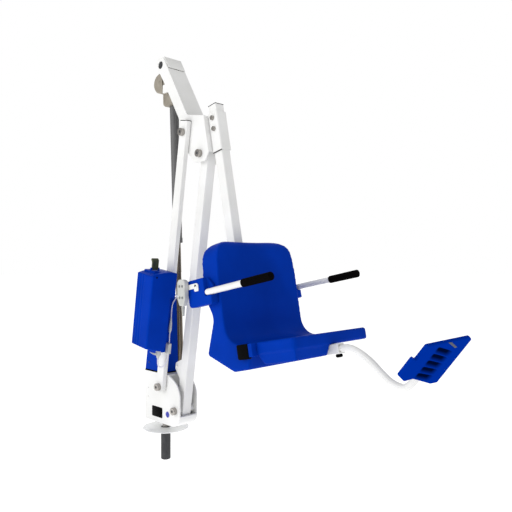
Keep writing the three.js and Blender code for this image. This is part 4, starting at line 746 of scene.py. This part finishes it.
def clamp_knob():
    """The clamp knob, its rim cut by finger flutes."""
    eased("foot_knob", edge_mm=0.6)
    knob = turned(KNOB_PROFILE, steps=48)
    for vert in knob.verts:
        if hypot(vert.co.x, vert.co.y) > FLUTE_START:
            flute = 1 - FLUTE_DEPTH_SHARE * (1 + cos(KNOB_LOBES * atan2(vert.co.y, vert.co.x)))
            vert.co.x *= flute
            vert.co.y *= flute
    settle(knob, "foot_knob_lobes", "knob", "black_plastic", (), SEAT @ Matrix.Translation(KNOB_PLACE))


def footrest():
    """The S-bent tube with a rounder section than the CAD sweep's, and what clamps it under the pan."""
    moulded("foot_tube", voxel_mm=1.5, passes=2)
    eased("foot_receiver", edge_mm=1)
    clamp_knob()
    stud(
        "receiver_peg_end", "pan", SEAT, PEG_END, axis=(0, 1, 0), side=(1, 0, 0), radius=PEG_RADIUS,
        height=PEG_HEIGHT, slot="blue_plastic",
    )


def seat():
    """The seat with all that hangs on it, apart from the handset."""
    moulded("seat_shell", voxel_mm=4.5, passes=6)
    moulded("seat_pan", voxel_mm=3, passes=4)
    moulded("arm_block_near", voxel_mm=2, passes=3)
    moulded("arm_block_far", voxel_mm=2, passes=3)
    footplate()
    for side, name in SIDES:
        knuckle(side, name)
    for side, name in SIDES:
        armrest(side, name)
    footrest()


seat()


# Handset: its ribbed tail in its own frame, and its hook's bolt in the seat's, in millimetres

HANDSET_HEIGHT = 108
RIB_COUNT = 8
RIB_FIRST = 6
RIB_PITCH = 4.6
RIB_RADIUS = 8.4
RIB_TAPER = 0.42
RIB_DEPTH = 1.6
RIB_HALF_FOOT = 1.1
RIB_HALF_CREST = 0.6
HOOK_BOLT = (-233, -272.4, 256)
HOOK_BOLT_RADIUS = 5.5
HOOK_BOLT_HEIGHT = 3.5


def handset():
    """The handset with eight ribs on its tail, its four keys, and the bolt through its hook."""
    moulded("handset", voxel_mm=0.7, passes=1)
    for i in range(RIB_COUNT):
        height = -HANDSET_HEIGHT / 2 - RIB_FIRST - RIB_PITCH * i
        crest = RIB_RADIUS - RIB_TAPER * i
        foot = crest - RIB_DEPTH
        profile = [
            (foot, -RIB_HALF_FOOT), (crest, -RIB_HALF_CREST), (crest, RIB_HALF_CREST),
            (foot, RIB_HALF_FOOT), (foot, -RIB_HALF_FOOT),
        ]
        ring = turned(profile, steps=24, centre=(0, 0, height))
        settle(ring, f"handset_rib_{i + 1}", "head", "grey_plastic", (), HANDSET)
    for body in ("up_left", "up_right", "down_left", "down_right"):
        eased(f"button_{body}", edge_mm=1.1, steps=3)
    stud(
        "hook_bolt", "head", SEAT, HOOK_BOLT, radius=HOOK_BOLT_RADIUS, height=HOOK_BOLT_HEIGHT,
        slot="dark_steel", **ACROSS,
    )


handset()


# Ram, in millimetres in its own frame, down from the ear's pin

RAM_TUBE_RADIUS = 22
RAM_TUBE_TOP = -203
RAM_TUBE_END = -848
RAM_BORE = 17
RAM_WALL = RAM_TUBE_RADIUS - RAM_BORE
COLLAR_RADIUS = 24
COLLAR_LENGTH = 26
COLLAR_SHOULDER = 1
COLLAR_SLOPE = 2.5
COLLAR_CHAMFER = 2
ROD_RADIUS = 14
# Heights between which the casing's neck slims, and by what share in the end
NECK_START = -95
NECK_END = -20
NECK_SLIM_SHARE = 0.62
MOTOR_FACE = (-38.8, -36, -76)
# Radius and height, over the motor's near face
MOTOR_CAP_PROFILE = [(0, 2.4), (8, 2.4), (10, 0.4), (22, 0.3), (24, -0.2), (0, -0.2)]


def gear_casing():
    """The gear housing, its neck slimmed up to the eye on the ear's pin."""
    housing = merged_copy("gear_housing")
    back = RAM.inverted()
    for vert in housing.verts:
        x, y, z = back @ vert.co
        slim = min(1, max(0, (z - NECK_START) / (NECK_END - NECK_START)))
        vert.co = RAM @ Vector((x, y * (1 - slim * NECK_SLIM_SHARE), z))
    eased("gear_housing", edge_mm=1.5, steps=3, shape=housing)


def ram_tube():
    """The drawn tube, open below round the rod, with the collar that guides the rod."""
    guide = ROD_RADIUS + FIT_GAP
    end = RAM_TUBE_END - COLLAR_LENGTH
    profile = [
        (0, RAM_TUBE_TOP), (RAM_TUBE_RADIUS, RAM_TUBE_TOP), (RAM_TUBE_RADIUS, RAM_TUBE_END),
        (COLLAR_RADIUS - COLLAR_SHOULDER, RAM_TUBE_END - COLLAR_SHOULDER),
        (COLLAR_RADIUS, RAM_TUBE_END - COLLAR_SLOPE), (COLLAR_RADIUS, end + COLLAR_CHAMFER),
        (COLLAR_RADIUS - COLLAR_CHAMFER, end), (guide, end), (guide, RAM_TUBE_END),
        (RAM_BORE, RAM_TUBE_END + RAM_WALL), (RAM_BORE, RAM_TUBE_TOP - 2 * RAM_WALL),
        (0, RAM_TUBE_TOP - 2 * RAM_WALL),
    ]
    shape = turned(profile, steps=56, centre=(RAM_OFFSET, 0, 0))
    settle(shape, "ram_tube_drawn", "ram", "actuator_tube", ["ram_tube"], RAM)


def ram():
    """The gear casing with its motor and end cap, the tube, and the rod that slides in it."""
    gear_casing()
    eased("ram_motor", edge_mm=1.2)
    ram_tube()
    eased("ram_rod", edge_mm=0.6)
    cap = turned(MOTOR_CAP_PROFILE, steps=36, axis=(0, -1, 0), centre=MOTOR_FACE)
    settle(cap, "motor_end_cap", "ram", "actuator_casing", (), RAM)


ram()


# Frame: brackets, arms, sleeves, bolts and pins, each with its easing in millimetres

EASED_NODES = {
    "cover_disc": 0.8, "swivel_stem": 0.6, "base_bracket": 1.0, "arm_lower_bolt": 0.9,
    "link_lower_bolt": 0.9, "main_arm": 0.8, "arm_lower_sleeve": 0.4, "arm_upper_sleeve": 0.4,
    "ram_clevis": 0.8, "arm_stud": 0.5, "parallel_link": 0.8, "head_bracket": 1.0, "ear_pin": 0.9,
    "arm_upper_bolt": 0.9, "link_upper_bolt": 0.9, "hanger_sleeve": 0.8, "hanger_post": 0.8,
    "sleeve_bolt_1": 0.6, "sleeve_bolt_2": 0.6, "seat_bolt_lower": 0.6, "seat_bolt_upper": 0.6,
    "hinge_rod": 0.5, "handset_hook": 0.6, "lead_clip": 1.2, "deck_post": 0.6, "control_module": 1.0,
    "housing_gasket": 0.8,
}
OWN_FINISH = {
    "cover_disc": FROSTED,
    "sleeve_bolt_1": FINISHES["polished_steel"],
    "sleeve_bolt_2": FINISHES["polished_steel"],
}
# Run and fall of the head's sloping edge, for each millimetre along it
EDGE_RUN = 0.513
EDGE_FALL = 0.858
# The ear cover's start along the edge and its distance out from the pin, then its end and outer face
EAR_COVER = (-22, 36.4, 47, 39.4)
EAR_COVER_NEAR = -47.2
EAR_COVER_FAR = 54
EAR_COVER_EDGE = 0.6


def ear_cover():
    """The white plate across the ears, above the slot at the top of the head's web."""
    slope = Vector((EDGE_RUN, -EDGE_FALL))
    outward = Vector((EDGE_FALL, EDGE_RUN))
    pin = Vector(from_head(*EAR_PIN))
    corners = [(*(pin + slope * along + outward * out), 0) for along, out, _ in oblong(*EAR_COVER)]
    shape = plate(corners, EAR_COVER_NEAR, EAR_COVER_FAR, EAR_COVER_EDGE)
    settle(shape, "head_ear_cover", "head", "white_frame", (), HEAD)


def metalwork():
    """The frame's own pieces with their corners eased, and the plate across the ears."""
    for node, edge_mm in EASED_NODES.items():
        eased(node, edge_mm, finish=OWN_FINISH.get(node))
    ear_cover()


metalwork()


# Housings, and the recess for the lead in the narrow arm's frame

RECESS_NEAR = -114
RECESS_FAR = -70
RECESS_TOP = 456
RECESS_BOTTOM = 178
RECESS_SKIRT = 28
RECESS_STEP = 232
RECESS_STEP_ROUND = 8
RECESS_FLOOR = 28
RECESS_MOUTH = 80
LINER_FAR = -56
LINER_BOTTOM = 181
LINER_BACK = 25.6
LINER_FRONT = 27.6
LINER_EDGE = 0.4


def lead_recess():
    """The cutter for the box's far front corner, which is set back for the lead and its connector."""
    corners = [
        (RECESS_NEAR, RECESS_TOP, 0), (RECESS_NEAR, RECESS_STEP, RECESS_STEP_ROUND),
        (RECESS_NEAR - RECESS_SKIRT, RECESS_BOTTOM, 0), (RECESS_FAR, RECESS_BOTTOM, 0),
        (RECESS_FAR, RECESS_TOP, 0),
    ]
    shape = plate(corners, -RECESS_MOUTH, -RECESS_FLOOR, 0)
    bmesh.ops.transform(shape, matrix=LINK_ACROSS, verts=shape.verts)
    bmesh.ops.recalc_face_normals(shape, faces=shape.faces)
    mesh = bpy.data.meshes.new("lead_recess")
    shape.to_mesh(mesh)
    shape.free()
    return linked("lead_recess", mesh)


def housings():
    """The control box with the wall behind its lead, the battery, and the housing on the base."""
    moulded("control_box", voxel_mm=2.2, passes=3, recess=lead_recess())
    wall = oblong(RECESS_NEAR, LINER_BOTTOM, LINER_FAR, RECESS_TOP)
    liner = plate(wall, -LINER_FRONT, -LINER_BACK, LINER_EDGE)
    settle(liner, "lead_recess_wall", "link", "blue_plastic", (), LINK_ACROSS)
    eased("control_housing", edge_mm=1.2, steps=3)
    eased("battery_pack", edge_mm=1.2, steps=3)
    eased("battery_handle", edge_mm=1.4, steps=3, finish=OLIVE)


housings()


# Small hardware and bare plates, in millimetres in the frame of what carries them

BASE_FACE = -54
HOUSING_SCREW = (-67, -53, 323)
RIVETS = {"upper": (-71.7, BASE_FACE, 195), "lower": (-71.7, BASE_FACE, 152)}
# The black window plate's outline in the side view, and its stretch along Y
WINDOW = (-40, 62, 46, 113)
WINDOW_RADII = (6, 6, 6, 6)
WINDOW_SPAN = (-54.9, -54.05)
WINDOW_EDGE = 0.2
ROUND_PLATE_PLACE = (88, BASE_FACE, 88.6)
# Radius, height and film of two discs, one on the other
ROUND_PLATES = {"pale": (17, 0.6, PALE_PLATE), "blue": (14, 0.9, BLUE_PLATE)}
ROUND_PLATE_CHAMFER = 0.3
ROUND_PLATE_LIFT = 0.05
ARM_BOLT_FACE = -71.3
LINK_BOLT_FACE = -98.7
EAR_PIN_FACE = -53
# Body, frame, place in the side view and near face of each bolt or pin with a socket
SOCKETS = {
    "arm_lower": ("base", BASE, ARM_PIVOT, ARM_BOLT_FACE),
    "link_lower": ("base", BASE, LINK_PIVOT, LINK_BOLT_FACE),
    "arm_upper": ("head", HEAD, (0, 0), ARM_BOLT_FACE),
    "link_upper": (
        "head", HEAD, (LINK_PIVOT[0] - ARM_PIVOT[0], LINK_PIVOT[1] - ARM_PIVOT[1]), LINK_BOLT_FACE,
    ),
    "ear_pin": ("head", HEAD, from_head(*EAR_PIN), EAR_PIN_FACE),
}
SOCKET_DEPTH = 4.5
# Place of the black dome of painted shade at the latch's hole
LATCH_HOLE_SHADE = (69, -200, 551)
LINK_HALF = 25
HANGER_AXIS = -256.5
HANGER_HALF = 25
SLEEVE_HALF = 30
# Body, frame, outline in the side view and stretch along Y of each plug, and of the black strip of painted
# shadow under the sleeve
TUBE_PLUGS_AND_PAINTED_SHADOW = {
    "link_end_plug": ("link", LINK, (-LINK_HALF, 1271.5, LINK_HALF, 1275), (-81, -57)),
    "hanger_end_plug": (
        "head", SEAT, (HANGER_AXIS - HANGER_HALF, 1080.3, HANGER_AXIS + HANGER_HALF, 1084),
        (-HANGER_HALF, HANGER_HALF),
    ),
    # Painted shadow: a thin black strip along the sleeve's lower rim
    "sleeve_underside_painted_shadow": (
        "head", SEAT, (HANGER_AXIS - SLEEVE_HALF, 859.5, HANGER_AXIS + SLEEVE_HALF, 862.7),
        (-SLEEVE_HALF, -26),
    ),
}
PLUG_EDGE = 0.6


def base_plates():
    """The screw, rivets and bare plates on the base's near side."""
    stud("housing_screw", "base", BASE, HOUSING_SCREW, radius=4.5, height=2.5, slot="dark_steel", **ACROSS)
    for name, place_mm in RIVETS.items():
        stud(f"plate_rivet_{name}", "base", BASE, place_mm, radius=2.2, height=0.9, **ACROSS)
    window = plate(oblong(*WINDOW, WINDOW_RADII), *WINDOW_SPAN, WINDOW_EDGE)
    settle(window, "black_window_plate", "base", "black_plastic", (), BASE, finish=BLACK_PLATE)
    for name, (radius, height, film) in ROUND_PLATES.items():
        profile = [
            (0, height), (radius - ROUND_PLATE_CHAMFER, height), (radius, height - ROUND_PLATE_CHAMFER),
            (radius, ROUND_PLATE_LIFT), (0, ROUND_PLATE_LIFT),
        ]
        disc = turned(profile, steps=48, axis=(0, -1, 0), centre=ROUND_PLATE_PLACE)
        settle(disc, f"{name}_round_plate", "base", "blue_plastic", (), BASE, finish=film)


def sockets():
    """Dark discs of painted shade in the driver's socket at the near end of each pivot bolt and of the
    ear's pin.
    """
    for name, (body, matrix, (x, z), face) in SOCKETS.items():
        # Painted shade: a black disc down at the socket's floor
        stud(
            f"{name}_socket_floor_painted_shade", body, matrix, (x, face + SOCKET_DEPTH, z), radius=4.6, height=0.4,
            slot="black_plastic", **ACROSS,
        )
        # Painted shade: a dark disc over the socket's mouth
        stud(
            f"{name}_socket_mouth_painted_shade", body, matrix, (x, face, z), radius=6.6, height=0.35, slot="dark_steel",
            **ACROSS,
        )


def tube_plugs_and_painted_shadow():
    """Black plugs in the tubes' open ends, and a black strip of painted shadow under the hanger's sleeve.
    """
    for name, (body, matrix, outline, span) in TUBE_PLUGS_AND_PAINTED_SHADOW.items():
        plug = plate(oblong(*outline), *span, PLUG_EDGE)
        settle(plug, name, body, "black_plastic", (), matrix)


base_plates()
sockets()
# Painted shade: a black dome where the latch has a dark hole
stud(
    "latch_hole_painted_shade", "link", LINK, LATCH_HOLE_SHADE, axis=(1, 0, 0), side=(0, 1, 0), radius=4.5, height=1.2,
    slot="black_plastic",
)
tube_plugs_and_painted_shadow()


# Floor and light

# Half of the floor's side, and its level against the deck, in metres
FLOOR_REACH = 60
FLOOR_LEVEL = -0.9
FLOOR_GLOW = 0.6
# Strength of the surround as a light, and as the camera sees it
SURROUND_LIGHT = 0.6
SURROUND_SEEN = 1.0
LAMP_AIM = (0.6, 0, 0.8)
# Place in metres, side in metres and power in watts
LAMPS = {
    "key_softbox": ((-0.8, -4.6, 2.2), 3.2, 92),
    "front_softbox": ((4.4, -1.2, 3.4), 2.6, 22),
    "rear_softbox": ((-3.4, 3.0, 2.8), 3.0, 40),
}


def pale_floor():
    """A plain pale floor, below the deck because the lift lowers its seat into the water."""
    shape = bmesh.new()
    bmesh.ops.create_grid(shape, x_segments=1, y_segments=1, size=FLOOR_REACH)
    bmesh.ops.translate(shape, verts=shape.verts, vec=(0, 0, FLOOR_LEVEL))
    mesh = bpy.data.meshes.new("pale_floor")
    shape.to_mesh(mesh)
    shape.free()
    glow = {"Emission Color": linear("#ffffff"), "Emission Strength": FLOOR_GLOW}
    mesh.materials.append(new_finish("pale_studio_floor", "#f4f4f4", 0.9, **glow)[0])
    linked("pale_floor", mesh)


def white_surround():
    """A surround that is white to the camera and a softer light to the lift."""
    world = bpy.data.worlds.new("white_studio")
    world.use_nodes = True
    tree = world.node_tree
    seen = add(tree, "LightPath").outputs["Is Camera Ray"]
    strength = add(tree, "MapRange", _0=seen, _3=SURROUND_LIGHT, _4=SURROUND_SEEN)
    tree.links.new(strength.outputs["Result"], tree.nodes["Background"].inputs["Strength"])
    tree.nodes["Background"].inputs["Color"].default_value = linear("#ffffff")
    bpy.context.scene.world = world


def softboxes():
    """Broad soft lamps, all aimed at the middle of the lift."""
    for name, (location, size, power) in LAMPS.items():
        data = bpy.data.lights.new(name, "AREA")
        data.size = size
        data.energy = power
        lamp = linked(name, data)
        lamp.location = location
        lamp.rotation_euler = (Vector(LAMP_AIM) - Vector(location)).to_track_quat("-Z", "Y").to_euler()


bpy.context.scene.view_settings.view_transform = "Standard"
pale_floor()
white_surround()
softboxes()
